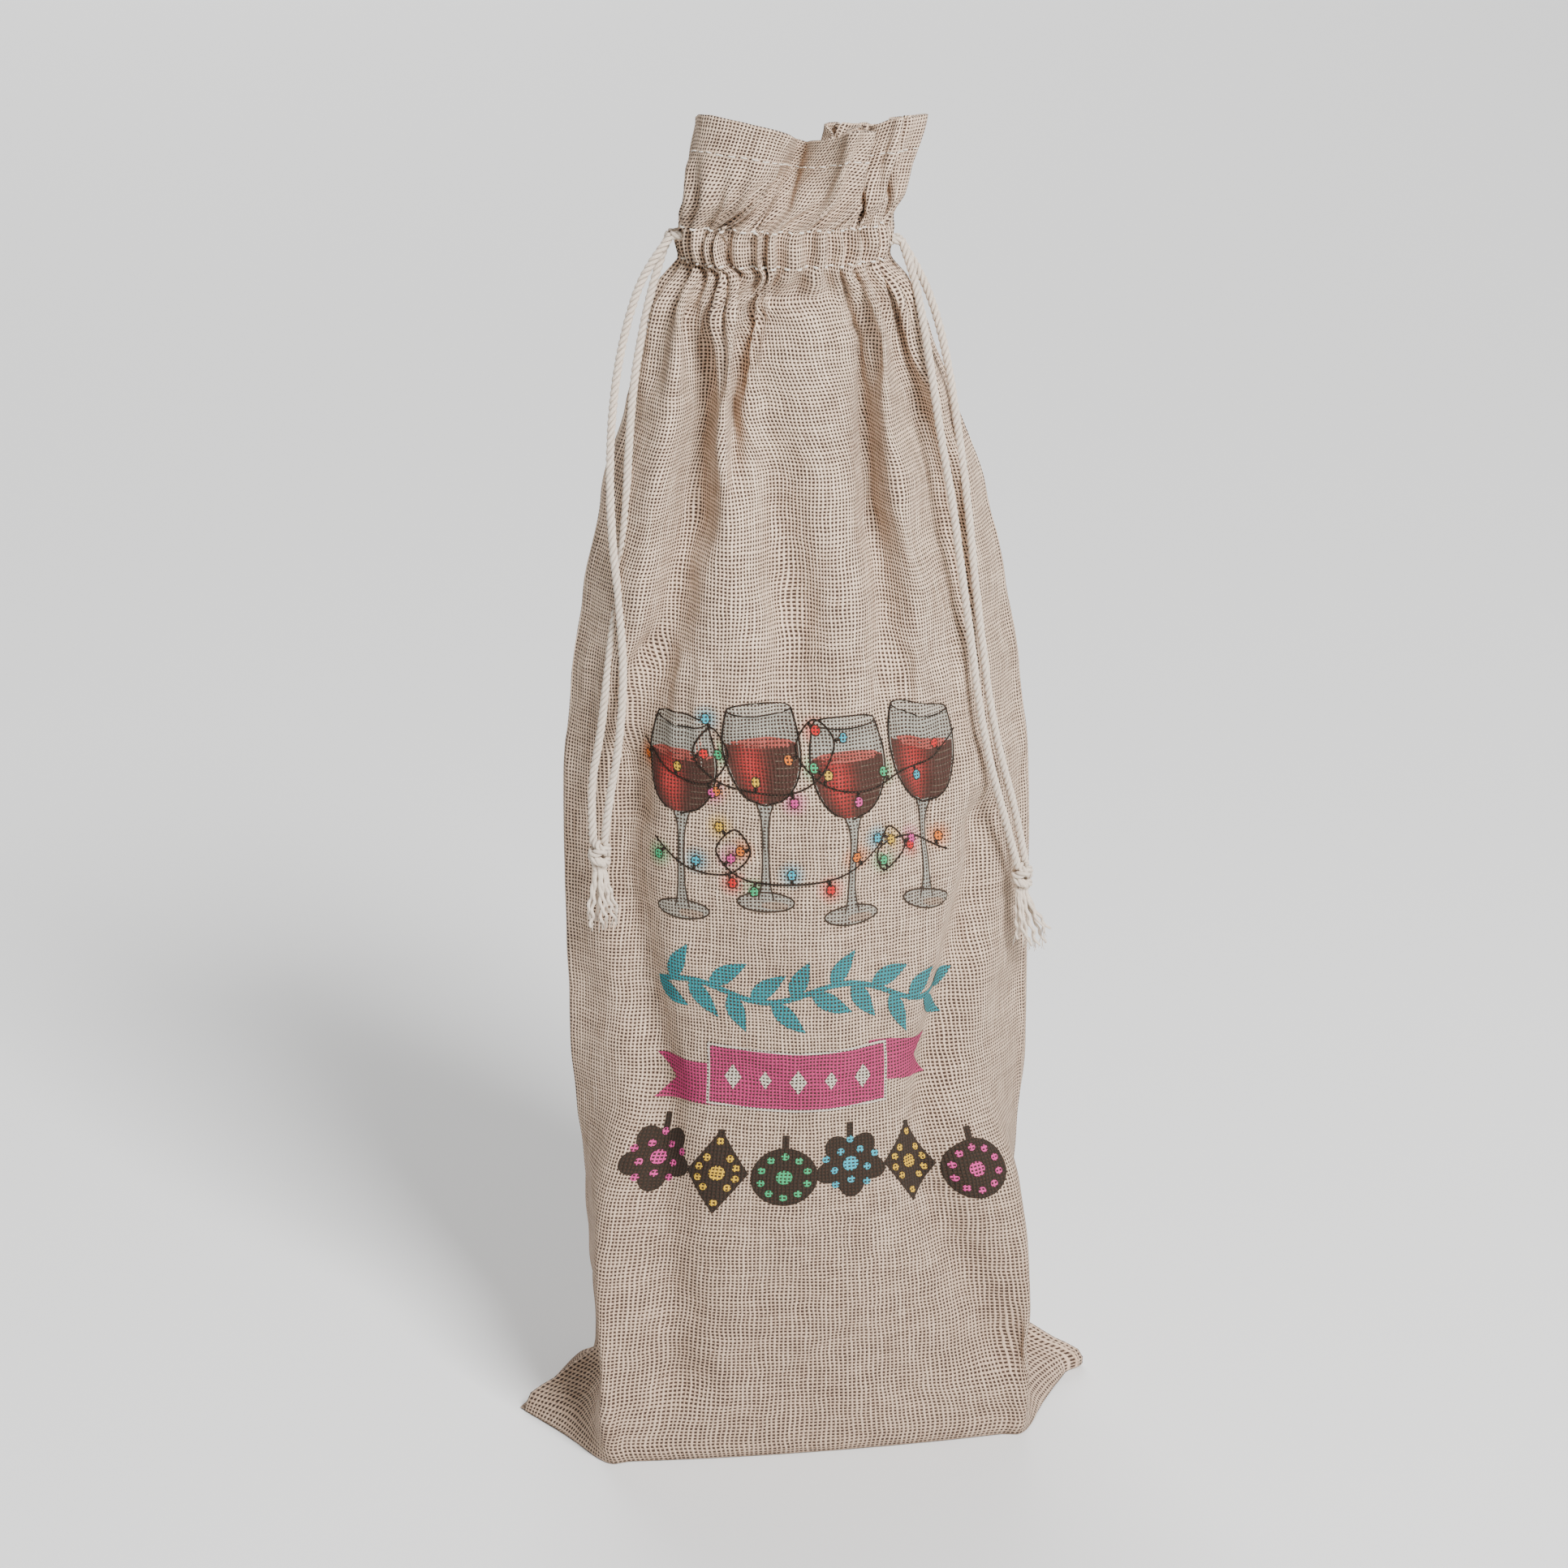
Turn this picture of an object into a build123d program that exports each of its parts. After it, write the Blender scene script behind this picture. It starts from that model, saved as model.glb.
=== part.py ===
"""Drawstring gift bag for one standing wine bottle, in thin woven cloth.

Two flat panels are sewn together at the sides and under the base, and stand open and rounded as
they do around a bottle. The mouth is gathered by two cords in a stitched casing, and each pair of
cord ends hangs at one side from its slit to an overhand knot and a frayed tassel.

Millimetres, +Z up, +X to the right and -Y to the front, with the origin on the ground under the
middle of the bag.
"""

import os
from collections import namedtuple
from math import cos, pi, sin, tan

from build123d import *

# Driving dimensions
HEIGHT = 350.0
CLOTH = 1.0
HEM_DEPTH = 10.0
UPPER_ROW = 321.0
LOWER_ROW = 312.5
PLEATS = 24
POINTS_PER_PLEAT = 4

# The casing is an inner strip that stands off the panels, with the cords in between
STRIP_GAP = 0.3
STRIP_DEPTH = 3.6
STRIP_WALL = 0.7
STRIP_LIP = 1.3
SLIT_HEIGHT = 6.6
SLIT_HALF_WIDTH = 4.0
SLIT_REACH = 80.0

CORD_RADIUS = 1.1
LEFT_CORD_HEIGHT = 318.2
RIGHT_CORD_HEIGHT = 315.3
LOOP_STANDOUT = 0.4
LOOP_BENDS = 18
LOOP_MOUTH = 0.42
LOOP_END_SPREAD = 1.9
LOOP_TURN_SPREAD = 2.4
LOOP_CLEARANCE = 0.1

STITCH_RADIUS = 0.35
STITCH_LENGTH = 2.4
CASING_STITCHES = 40
HEM_STITCHES = 44
BAR_TACK_RADIUS = 0.5
BAR_TACK_LENGTH = 4.6
BAR_TACK_GAP = 0.8

HEM_GAP = 0.1
SEAM_WIDTH = 6.0
SEAM_THICKNESS = 1.4
SEAM_GAP = 2.0
BASE_SEAM_LENGTH = 108.0
BASE_SEAM_ROUNDING = 0.5

# The flat bag's bottom corners stick out as ears: height, y at the root, corner's x and y, tip's x
EAR_ROOT = 38.0
EAR_SECTIONS = [
    (0.0, 29.5, 57.0, 29.5, 74.5),
    (4.4, 28.5, 57.5, 28.0, 76.0),
    (14.0, 25.0, 56.5, 16.0, 68.0),
    (25.0, 20.0, 51.0, 7.0, 57.5),
]

KNOT_RADIUS = 3.2
KNOT_CORE_RADIUS = 2.7
KNOT_HALF_HEIGHT = 3.7
WRAP_RADIUS = 1.2
WRAPS = ((24.0, 1.1), (-20.0, -1.0))
YARN_RADIUS = 0.55
YARNS = 6
YARN_START_RADIUS = 1.4
YARN_START_GAP = 0.45
YARN_REACHES = (3.0, 2.3)
YARN_LENGTHS = (15.0, 12.8, 13.6)
YARN_FLATNESS = 0.4
YARN_TURN = 0.3
YARN_BEND_REACH = 0.9
YARN_BEND_FLATNESS = 0.48
YARN_BEND_DROP = 0.45

# Cross-sections from the ground up. A section is a rounded lens: roundness 1.4 is the pointed
# oval of cloth pulled round a bottle, 2 is an ellipse, and 3 is nearly a rectangle.
Station = namedtuple("Station", "height half_width half_depth roundness pleat centre_x")
STATIONS = [
    Station(0.0, 58.0, 36.5, 3.0, 0.0, 3.5),
    Station(7.0, 59.0, 38.0, 2.8, 0.0, 3.6),
    Station(25.0, 58.5, 38.8, 2.2, 0.0, 3.6),
    Station(55.0, 59.8, 39.2, 1.7, 0.0, 2.3),
    Station(95.0, 61.0, 39.2, 1.48, 0.0, 0.8),
    Station(135.0, 61.2, 39.2, 1.42, 0.0, 0.0),
    Station(172.0, 61.5, 39.2, 1.42, 0.0, 0.0),
    Station(198.0, 59.2, 37.5, 1.45, 0.1, 0.0),
    Station(224.0, 55.2, 33.5, 1.5, 0.3, 0.0),
    Station(250.0, 49.0, 28.5, 1.6, 0.6, -0.6),
    Station(275.0, 41.0, 24.0, 1.8, 0.9, -1.5),
    Station(298.0, 33.5, 20.5, 2.0, 1.2, -2.6),
    Station(LOWER_ROW, 25.5, 18.5, 2.0, 1.3, -2.8),
    Station(UPPER_ROW, 25.5, 18.5, 2.0, 1.3, -2.8),
    Station(HEIGHT - HEM_DEPTH, 29.6, 21.5, 2.0, 2.2, -2.1),
    Station(HEIGHT - HEM_DEPTH / 2, 30.4, 22.3, 2.0, 2.4, -1.8),
    Station(HEIGHT, 31.0, 23.0, 2.0, 2.6, -1.5),
]
CASING = STATIONS[12]
HEM = STATIONS[-3]
FRONT, BACK = -1, 1
LEFT, RIGHT = -1, 1

# Free cord ends, from the slit down to the top of the knot
LEFT_KNOT = (-53.4, -17.6, 163.4)
LEFT_OUTER = [
    (-31.6, -1.9, 318.2),
    (-38.2, -3.2, 310.5),
    (-42.8, -4.8, 299.0),
    (-46.4, -6.4, 284.0),
    (-48.4, -8.4, 266.0),
    (-48.8, -13.4, 246.0),
    (-47.2, -17.6, 227.0),
    (-46.8, -20.0, 209.0),
    (-48.6, -20.2, 191.0),
    (-51.2, -18.8, 177.0),
    (-52.2, -17.8, 166.2),
]
LEFT_INNER = [
    (-31.6, 1.9, 318.2),
    (-35.2, 0.2, 309.0),
    (-38.8, -3.4, 297.0),
    (-42.0, -7.0, 283.0),
    (-43.8, -9.7, 266.0),
    (-45.0, -11.9, 249.0),
    (-47.6, -13.8, 229.0),
    (-50.4, -15.7, 212.0),
    (-52.4, -15.9, 195.0),
    (-55.4, -15.0, 180.0),
    (-54.8, -16.8, 166.2),
]
RIGHT_KNOT = (56.7, -14.4, 150.3)
RIGHT_OUTER = [
    (26.0, 1.9, 315.3),
    (30.6, -1.2, 308.0),
    (34.6, -4.9, 297.0),
    (37.4, -7.8, 283.0),
    (39.4, -10.7, 267.0),
    (41.2, -14.5, 250.0),
    (42.4, -18.0, 232.0),
    (44.4, -19.6, 214.0),
    (46.6, -19.9, 198.0),
    (50.2, -18.0, 183.0),
    (54.8, -14.8, 168.0),
    (57.8, -13.6, 153.2),
]
RIGHT_INNER = [
    (26.0, -1.9, 315.3),
    (28.0, -7.0, 308.4),
    (29.4, -11.8, 299.0),
    (31.4, -14.6, 285.0),
    (33.6, -16.0, 269.0),
    (36.6, -17.6, 252.0),
    (38.6, -20.6, 234.0),
    (41.0, -22.2, 216.0),
    (43.2, -22.6, 199.0),
    (46.6, -21.2, 183.0),
    (51.4, -18.0, 167.0),
    (55.4, -15.2, 153.2),
]


def on_section(station, turn, inset, side):
    """Return the point at the angle turn (0 at the right seam, pi at the left) of one half."""
    ripple = station.pleat * cos(PLEATS * turn)
    power = 2 / station.roundness
    x = (station.half_width + ripple - inset) * abs(cos(turn)) ** power
    y = (station.half_depth + ripple - inset) * abs(sin(turn)) ** power
    if cos(turn) < 0:
        x = -x
    return (station.centre_x + x, side * y)


def half_outline(station, inset, side):
    """Return the points of one half of a section, from the right seam to the left."""
    steps = PLEATS // 2 * POINTS_PER_PLEAT
    points = [on_section(station, pi * i / steps, inset, side) for i in range(steps + 1)]
    points[0] = (points[0][0], 0.0)
    points[-1] = (points[-1][0], 0.0)
    return points


def draw_half_section(station, inset, side, height):
    """Sketch one half of a section, filled, closed by a line along the side seams."""
    with BuildSketch(Plane.XY.offset(height)) as half_section:
        with BuildLine():
            points = half_outline(station, inset, side)
            Spline(*points)
            Line(points[-1], points[0])
        make_face()
    return half_section.sketch.face()


def draw_wall_section(station, inset, thickness, side, height):
    """Sketch one half of a section as a thin wall that ends at the side seams."""
    with BuildSketch(Plane.XY.offset(height)) as wall_section:
        with BuildLine():
            outer = half_outline(station, inset, side)
            inner = half_outline(station, inset + thickness, side)
            Spline(*outer)
            Line(outer[-1], inner[-1])
            Spline(*reversed(inner))
            Line(inner[0], outer[0])
        make_face()
    return wall_section.sketch.face()


def draw_ear_section(end, side, height, root_y, corner_x, corner_y, tip_x):
    """Sketch one half of a base corner at a height, from inside the bag out to its tip."""
    with BuildSketch(Plane.XY.offset(height)) as ear:
        with BuildLine():
            Polyline(
                (end * EAR_ROOT, 0),
                (end * EAR_ROOT, side * root_y),
                (end * corner_x, side * corner_y),
                (end * tip_x, 0),
                close=True,
            )
        make_face()
    return ear.sketch.face()


def make_panel(name, side):
    """Build one panel: a thin open shell with its half of the base and of both base corners."""
    ground = STATIONS[0]
    with BuildPart() as panel:
        for end in (LEFT, RIGHT):
            loft([draw_ear_section(end, side, *section) for section in EAR_SECTIONS], ruled=True)
        loft([draw_half_section(station, CLOTH / 2, side, station.height) for station in STATIONS[:4]],
             mode=Mode.SUBTRACT)
        loft([draw_half_section(ground, 0, side, 0), draw_half_section(ground, 0, side, CLOTH)])
        walls = [draw_wall_section(ground, 0, CLOTH, side, CLOTH)]
        walls += [draw_wall_section(station, 0, CLOTH, side, station.height) for station in STATIONS[1:]]
        loft(walls)
        with Locations((CASING.centre_x, 0, (UPPER_ROW + LOWER_ROW) / 2)):
            Box(SLIT_REACH, 2 * SLIT_HALF_WIDTH, SLIT_HEIGHT, mode=Mode.SUBTRACT)
    panel.part.label = name
    return panel


def make_top_hem(name, side):
    """Build the turned-in edge of one panel, a narrow band inside the mouth."""
    with BuildPart() as hem:
        inset = CLOTH + HEM_GAP
        loft([draw_wall_section(station, inset, CLOTH, side, station.height) for station in STATIONS[-3:]])
    hem.part.label = name
    return hem


def draw_casing_ring(outer_inset, inner_inset, side):
    """Sketch half of an oval ring in the casing, with insets from the valleys of the pleats."""
    wide = CASING.half_width - CASING.pleat - CLOTH
    deep = CASING.half_depth - CASING.pleat - CLOTH
    with Locations((CASING.centre_x, 0)):
        Ellipse(wide - outer_inset, deep - outer_inset)
        Ellipse(wide - inner_inset, deep - inner_inset, mode=Mode.SUBTRACT)
    with Locations((CASING.centre_x, -side * deep)):
        Rectangle(2 * wide, 2 * deep, mode=Mode.SUBTRACT)


def make_casing_strip(name, side):
    """Build half of the inner strip: a channel, open outwards, that holds the cords."""
    low = LOWER_ROW - STRIP_LIP
    high = UPPER_ROW + STRIP_LIP
    lip = STRIP_LIP + STRIP_WALL
    back = STRIP_DEPTH + STRIP_WALL
    with BuildPart() as strip:
        for outer_inset, bottom, height in (
            (STRIP_DEPTH, low, high - low),
            (STRIP_GAP, low, lip),
            (STRIP_GAP, high - lip, lip),
        ):
            with BuildSketch(Plane.XY.offset(bottom)):
                draw_casing_ring(outer_inset, back, side)
            extrude(amount=height)
    strip.part.label = name
    return strip


def make_side_seam(name, end):
    """Build the two turned-in edges at one side, a double strip inside the bag."""
    with BuildPart() as seam:
        for station in STATIONS[2:12]:
            outer = station.half_width - CLOTH - SEAM_GAP
            middle = station.centre_x + end * (outer - SEAM_WIDTH / 2)
            with BuildSketch(Plane.XY.offset(station.height)):
                with Locations((middle, 0)):
                    Rectangle(SEAM_WIDTH, SEAM_THICKNESS)
        loft(ruled=True)
    seam.part.label = name
    return seam


def make_base_seam(name):
    """Build the turned-in edges of the seam under the bottle, standing up inside the base."""
    with BuildPart() as seam:
        with Locations((STATIONS[0].centre_x, 0, CLOTH + HEM_GAP)):
            Box(BASE_SEAM_LENGTH, SEAM_THICKNESS, SEAM_WIDTH, align=(Align.CENTER, Align.CENTER, Align.MIN))
        fillet(seam.edges().filter_by(Axis.X).group_by(Axis.Z)[-1], radius=BASE_SEAM_ROUNDING)
    seam.part.label = name
    return seam


def make_stitch_row(name, station, count):
    """Build a row of running stitches round a section, each lying along the pleated cloth."""
    planes = []
    for i in range(count):
        turn = 2 * pi * (i + 0.5) / count
        side = FRONT if turn < pi else BACK
        here = on_section(station, turn % pi, 0.0, side)
        ahead = on_section(station, turn % pi + 0.01, 0.0, side)
        tangent = (ahead[0] - here[0], ahead[1] - here[1], 0)
        planes.append(Plane(origin=(here[0], here[1], station.height), z_dir=tangent))
    with BuildPart() as row:
        with Locations(*planes):
            Cylinder(STITCH_RADIUS, STITCH_LENGTH)
    row.part.label = name
    return row


def make_bar_tacks(name, end):
    """Build the two thread bars that close a side seam just above and below its cord slit."""
    with BuildPart() as tacks:
        middle = (UPPER_ROW + LOWER_ROW) / 2
        x = CASING.centre_x + end * (CASING.half_width + CASING.pleat)
        reach = SLIT_HEIGHT / 2 + BAR_TACK_GAP
        for height in (middle - reach, middle + reach):
            with Locations((x, 0, height)):
                Cylinder(BAR_TACK_RADIUS, BAR_TACK_LENGTH, rotation=(90, 0, 0))
    tacks.part.label = name
    return tacks


def corner_radii(points):
    """Return the arc radius at each inner point: 0.45 of the shorter run over tan(half the turn)."""
    radii = []
    corners = [Vector(*point) for point in points]
    for before, corner, after in zip(corners, corners[1:], corners[2:]):
        come, go = corner - before, after - corner
        half_turn = come.get_angle(go) / 2 * pi / 180
        radii.append(0.45 * min(come.length, go.length) / tan(half_turn))
    return radii


def make_tube(name, points, radius):
    """Build a round tube along straight runs joined by tangent arcs, and print its bends."""
    radii = corner_radii(points)
    with BuildPart() as tube:
        with BuildLine() as route:
            FilletPolyline(*points, radius=radii)
        with BuildSketch(Plane(origin=points[0], z_dir=route.line % 0)):
            Circle(radius)
        sweep()
    length = sum(edge.length for edge in route.edges())
    expected = pi * radius**2 * length
    print(name, "length", round(length, 1), "smallest bend radius", round(min(radii), 1),
          "volume / (section x length)", round(tube.part.volume / expected, 4))
    print("   bend radii", [round(r, 1) for r in radii])
    tube.part.label = name
    return tube


def casing_loop_points(end, height):
    """Return a loop round the inside of the casing, with both ends out of one side's slit."""
    depth = CASING.pleat + CLOTH + STRIP_DEPTH / 2 + LOOP_CLEARANCE
    wide = CASING.half_width - depth
    deep = CASING.half_depth - depth
    exit_x = CASING.centre_x + end * (CASING.half_width + CASING.pleat + LOOP_STANDOUT)
    turn_x = CASING.centre_x + end * (wide + CORD_RADIUS)
    ring = []
    for i in range(LOOP_BENDS):
        turn = LOOP_MOUTH + 2 * (pi - LOOP_MOUTH) * i / (LOOP_BENDS - 1)
        ring.append((CASING.centre_x + end * wide * cos(turn), -deep * sin(turn), height))
    start = [(exit_x, -LOOP_END_SPREAD, height), (turn_x, -LOOP_TURN_SPREAD, height)]
    finish = [(turn_x, LOOP_TURN_SPREAD, height), (exit_x, LOOP_END_SPREAD, height)]
    return start + ring + finish


def make_knot(name, centre):
    """Build an overhand knot in the doubled cord: a small barrel with two slanting wraps."""
    with BuildPart() as knot:
        with BuildSketch(Plane.XZ.offset(-centre[1])):
            with Locations((centre[0], centre[2])):
                Ellipse(KNOT_CORE_RADIUS, KNOT_HALF_HEIGHT)
            with Locations((centre[0] - KNOT_HALF_HEIGHT, centre[2])):
                Rectangle(2 * KNOT_HALF_HEIGHT, 2 * KNOT_HALF_HEIGHT, mode=Mode.SUBTRACT)
        revolve(axis=Axis(centre, (0, 0, 1)))
        for tilt, rise in WRAPS:
            with Locations(Location((centre[0], centre[1], centre[2] + rise), (0, tilt, 0))):
                Torus(KNOT_RADIUS - WRAP_RADIUS, WRAP_RADIUS)
    knot.part.label = name
    return knot


def make_tassel(name, knot_centre):
    """Build the frayed ends under a knot: separate thin yarns that spread as they hang."""
    x, y, z = knot_centre
    top = z - KNOT_HALF_HEIGHT - YARN_START_GAP
    with BuildPart() as tassel:
        for i in range(YARNS):
            across = cos(2 * pi * (i + YARN_TURN) / YARNS)
            along = sin(2 * pi * (i + YARN_TURN) / YARNS)
            reach = YARN_REACHES[i % 2]
            length = YARN_LENGTHS[i % 3]
            start = (x + YARN_START_RADIUS * across, y + YARN_START_RADIUS * along, top)
            middle = (
                x + YARN_BEND_REACH * reach * across,
                y + YARN_BEND_FLATNESS * reach * along,
                top - YARN_BEND_DROP * length,
            )
            finish = (x + reach * across, y + YARN_FLATNESS * reach * along, top - length)
            with BuildLine() as route:
                FilletPolyline(start, middle, finish, radius=corner_radii([start, middle, finish]))
            with BuildSketch(Plane(origin=start, z_dir=route.line % 0)):
                Circle(YARN_RADIUS)
            sweep()
    tassel.part.label = name
    return tassel


pieces = [
    make_panel("front_panel", FRONT),
    make_panel("back_panel", BACK),
    make_top_hem("front_top_hem", FRONT),
    make_top_hem("back_top_hem", BACK),
    make_casing_strip("front_casing_strip", FRONT),
    make_casing_strip("back_casing_strip", BACK),
    make_side_seam("left_seam_allowance", LEFT),
    make_side_seam("right_seam_allowance", RIGHT),
    make_base_seam("base_seam_allowance"),
    make_stitch_row("casing_lower_stitching", STATIONS[12], CASING_STITCHES),
    make_stitch_row("casing_upper_stitching", STATIONS[13], CASING_STITCHES),
    make_stitch_row("top_hem_stitching", HEM, HEM_STITCHES),
    make_bar_tacks("left_slit_bar_tacks", LEFT),
    make_bar_tacks("right_slit_bar_tacks", RIGHT),
    make_tube("left_cord_casing_loop", casing_loop_points(LEFT, LEFT_CORD_HEIGHT), CORD_RADIUS),
    make_tube("right_cord_casing_loop", casing_loop_points(RIGHT, RIGHT_CORD_HEIGHT), CORD_RADIUS),
    make_tube("left_cord_outer_strand", LEFT_OUTER, CORD_RADIUS),
    make_tube("left_cord_inner_strand", LEFT_INNER, CORD_RADIUS),
    make_tube("right_cord_outer_strand", RIGHT_OUTER, CORD_RADIUS),
    make_tube("right_cord_inner_strand", RIGHT_INNER, CORD_RADIUS),
    make_knot("left_cord_knot", LEFT_KNOT),
    make_knot("right_cord_knot", RIGHT_KNOT),
    make_tassel("left_cord_tassel", LEFT_KNOT),
    make_tassel("right_cord_tassel", RIGHT_KNOT),
]

os.makedirs("parts", exist_ok=True)
for piece in pieces:
    export_step(piece.part, f"parts/{piece.part.label}.step")
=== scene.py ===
"""The drawstring wine gift bag in woven cloth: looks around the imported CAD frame. Metres, +Z up."""

import math

import bpy
import numpy as np
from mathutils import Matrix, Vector


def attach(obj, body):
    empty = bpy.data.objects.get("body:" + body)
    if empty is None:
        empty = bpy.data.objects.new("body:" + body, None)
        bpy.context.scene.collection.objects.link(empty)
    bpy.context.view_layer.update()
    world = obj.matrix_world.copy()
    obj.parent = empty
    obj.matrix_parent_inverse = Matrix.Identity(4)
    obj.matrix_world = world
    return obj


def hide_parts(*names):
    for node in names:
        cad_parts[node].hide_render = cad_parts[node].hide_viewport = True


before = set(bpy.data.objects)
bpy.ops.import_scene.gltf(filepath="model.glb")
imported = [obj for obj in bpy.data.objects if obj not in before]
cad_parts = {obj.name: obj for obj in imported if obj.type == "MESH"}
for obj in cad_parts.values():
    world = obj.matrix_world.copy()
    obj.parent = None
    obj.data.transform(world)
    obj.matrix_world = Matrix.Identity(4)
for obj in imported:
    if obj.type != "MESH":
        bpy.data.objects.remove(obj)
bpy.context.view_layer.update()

MM = 0.001

# The cloth: two panels cut flat, in millimetres, with columns across and rows from base to mouth
PANEL_WIDTH = 152.0
PANEL_LENGTH = 390.0
COLUMNS = 96
# How much of the cut length lies folded on the ground, and how much is turned in at the mouth
BASE_DEPTH = 37.0
HEM_FOLD = 10.0
# Heights on the standing bag: the top of the neck, the casing's two rows of stitches, and the rim
NECK_TOP = 304.0
LOWER_ROW = 312.5
UPPER_ROW = 321.0
TOP = 350.0
# The gathers take up this much of the cut width, and the settling cloth takes up the rest
TAKEN_UP = PANEL_WIDTH * 0.985
# Points drawn between two control points of an outline
SPAN_SAMPLES = 30
WEAVE_PITCH = 0.94


def smooth(low, high, value):
    """Rise from 0 to 1 between two values, with level ends."""
    share = np.clip((np.asarray(value, float) - low) / (high - low), 0.0, 1.0)
    return share * share * (3.0 - 2.0 * share)


def path_length(points):
    """Return the length along a line of points at each of them."""
    steps = np.linalg.norm(np.diff(points, axis=0), axis=1)
    return np.concatenate([[0.0], np.cumsum(steps)])


def length_shares(points):
    """Return how far along a line each of its points is, from 0 to 1."""
    lengths = path_length(points)
    return lengths / lengths[-1]


def resample(points, shares):
    """Return the points at the given shares of a line's length."""
    lengths = path_length(points)
    wanted = np.asarray(shares) * lengths[-1]
    return np.column_stack([np.interp(wanted, lengths, points[:, i]) for i in range(points.shape[1])])


def through(points, count):
    """Return a smooth line through control points, count samples to each span."""
    points = np.asarray(points, float)
    padded = np.vstack([2 * points[0] - points[1], points, 2 * points[-1] - points[-2]])
    t = np.linspace(0.0, 1.0, count, endpoint=False)[:, None]
    spans = []
    for i in range(len(points) - 1):
        a, b, c, d = padded[i : i + 4]
        curve = 2 * b + (c - a) * t + (2 * a - 5 * b + 4 * c - d) * t**2 + (3 * b - a - 3 * c + d) * t**3
        spans.append(0.5 * curve)
    return np.vstack(spans + [points[-1:]])


# ---------------------------------------------------------------- the shape of the filled bag
# Plan outline of the front panel at each height, from the left seam to the right, in millimetres.
# The neck's points are, in turn: left seam, wing, valley, pleat, valley, edge, hollow, bottle neck,
# edge, valley, pleat, valley, wing, right seam.
NECK_FRONT = {
    205.0: [(-58.4, 0), (-50, -15.5), (-41, -19), (-31.5, -30), (-22, -34.4), (-15.5, -35.5), (-6, -34.5),
            (3, -36.6), (10, -35.5), (17.5, -31), (25, -31), (34, -24.5), (43, -17), (58.4, 0)],
    228.0: [(-54.6, 0), (-44, -20.5), (-33.5, -15), (-27, -25.5), (-20, -28.8), (-13, -27.5), (-4.5, -22),
            (4, -28), (11.5, -26.5), (18.5, -19), (26.5, -27), (37, -14.5), (44, -14.5), (54.5, 0)],
    252.0: [(-50, 0), (-39.5, -19), (-27, -8), (-22, -21.5), (-19, -22.3), (-14, -19.5), (-7.5, -14.5),
            (2, -20.5), (10.5, -18), (17, -9), (23, -22), (34, -8.5), (41.5, -12.5), (49, 0)],
    276.0: [(-43.2, 0), (-34.5, -16), (-24.5, -6), (-21.8, -19), (-17.6, -8), (-15, -15.5), (-9.5, -14.5),
            (0, -17), (10.7, -14), (15.6, -6.5), (19.5, -18), (29, -6.5), (34, -12.5), (40.2, 0)],
    293.0: [(-39.2, 0), (-31.6, -14.5), (-25.3, -7), (-20.5, -18.5), (-15.8, -8), (-13, -14), (-9, -15.5),
            (-1, -17.2), (10.6, -14), (15.3, -8), (18.6, -16), (24.1, -7), (28, -10.5), (32, 0)],
    299.0: [(-37.1, 0), (-31, -13.5), (-25.2, -9), (-20.4, -17.5), (-15.4, -9.5), (-11.5, -11),
            (-7.5, -14.5), (-0.5, -16.8), (6.5, -14), (12, -9), (17.2, -16), (22.3, -8.5), (27, -10),
            (31, 0)],
    304.0: [(-34.6, 0), (-30, -11), (-24.5, -12), (-20, -16.5), (-15.5, -12), (-12, -13.5), (-8, -12.5),
            (-1.5, -12.5), (7, -12.5), (11.8, -11.5), (16, -15.5), (20.5, -10.5), (25.5, -10), (29.4, 0)],
}
# The mouth's points: left seam, the wide left lobe, the deep notch, the second lobe, and the pleats
# on the right.
MOUTH_FRONT = {
    328.0: [(-27.8, 0), (-27.6, -8), (-24.5, -13), (-19, -17), (-13.8, -18.5), (-11.3, -11.5), (-8.5, -9),
            (-5, -11.5), (0, -17), (6, -18.5), (12, -16), (14, -9.5), (17, -14), (20, -13), (20.5, -8.5),
            (22.8, -9.5), (25, -6), (24.8, 0)],
    336.0: [(-27.8, 0), (-28, -7), (-24, -13), (-16, -17.5), (-9, -18.5), (-6, -11), (-4, -4.5), (-1, -3.5),
            (2.5, -12), (8.5, -19), (14, -14), (14.5, -5), (17.5, -13), (20.5, -12.5), (20.5, -5), (23.5, -9),
            (26.5, -5.5), (25.3, 0)],
    350.0: [(-25.2, 0), (-25, -6), (-22.5, -11), (-16.5, -15.5), (-9.5, -18.5), (-4, -18), (-1.5, -7),
            (2, -2.5), (6, -12), (11.5, -20), (16.5, -14), (16, -3), (20, -13), (23.5, -13), (23.5, -4),
            (27, -9.5), (31, -5), (28.5, 0)],
}
MOUTH_HEIGHTS = [346.5, 348.5, 349, 348, 346.5, 344.5, 342, 340.3, 342.5, 346, 344.5, 342.5, 347, 348, 345.5,
                 347, 347, 346]
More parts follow.
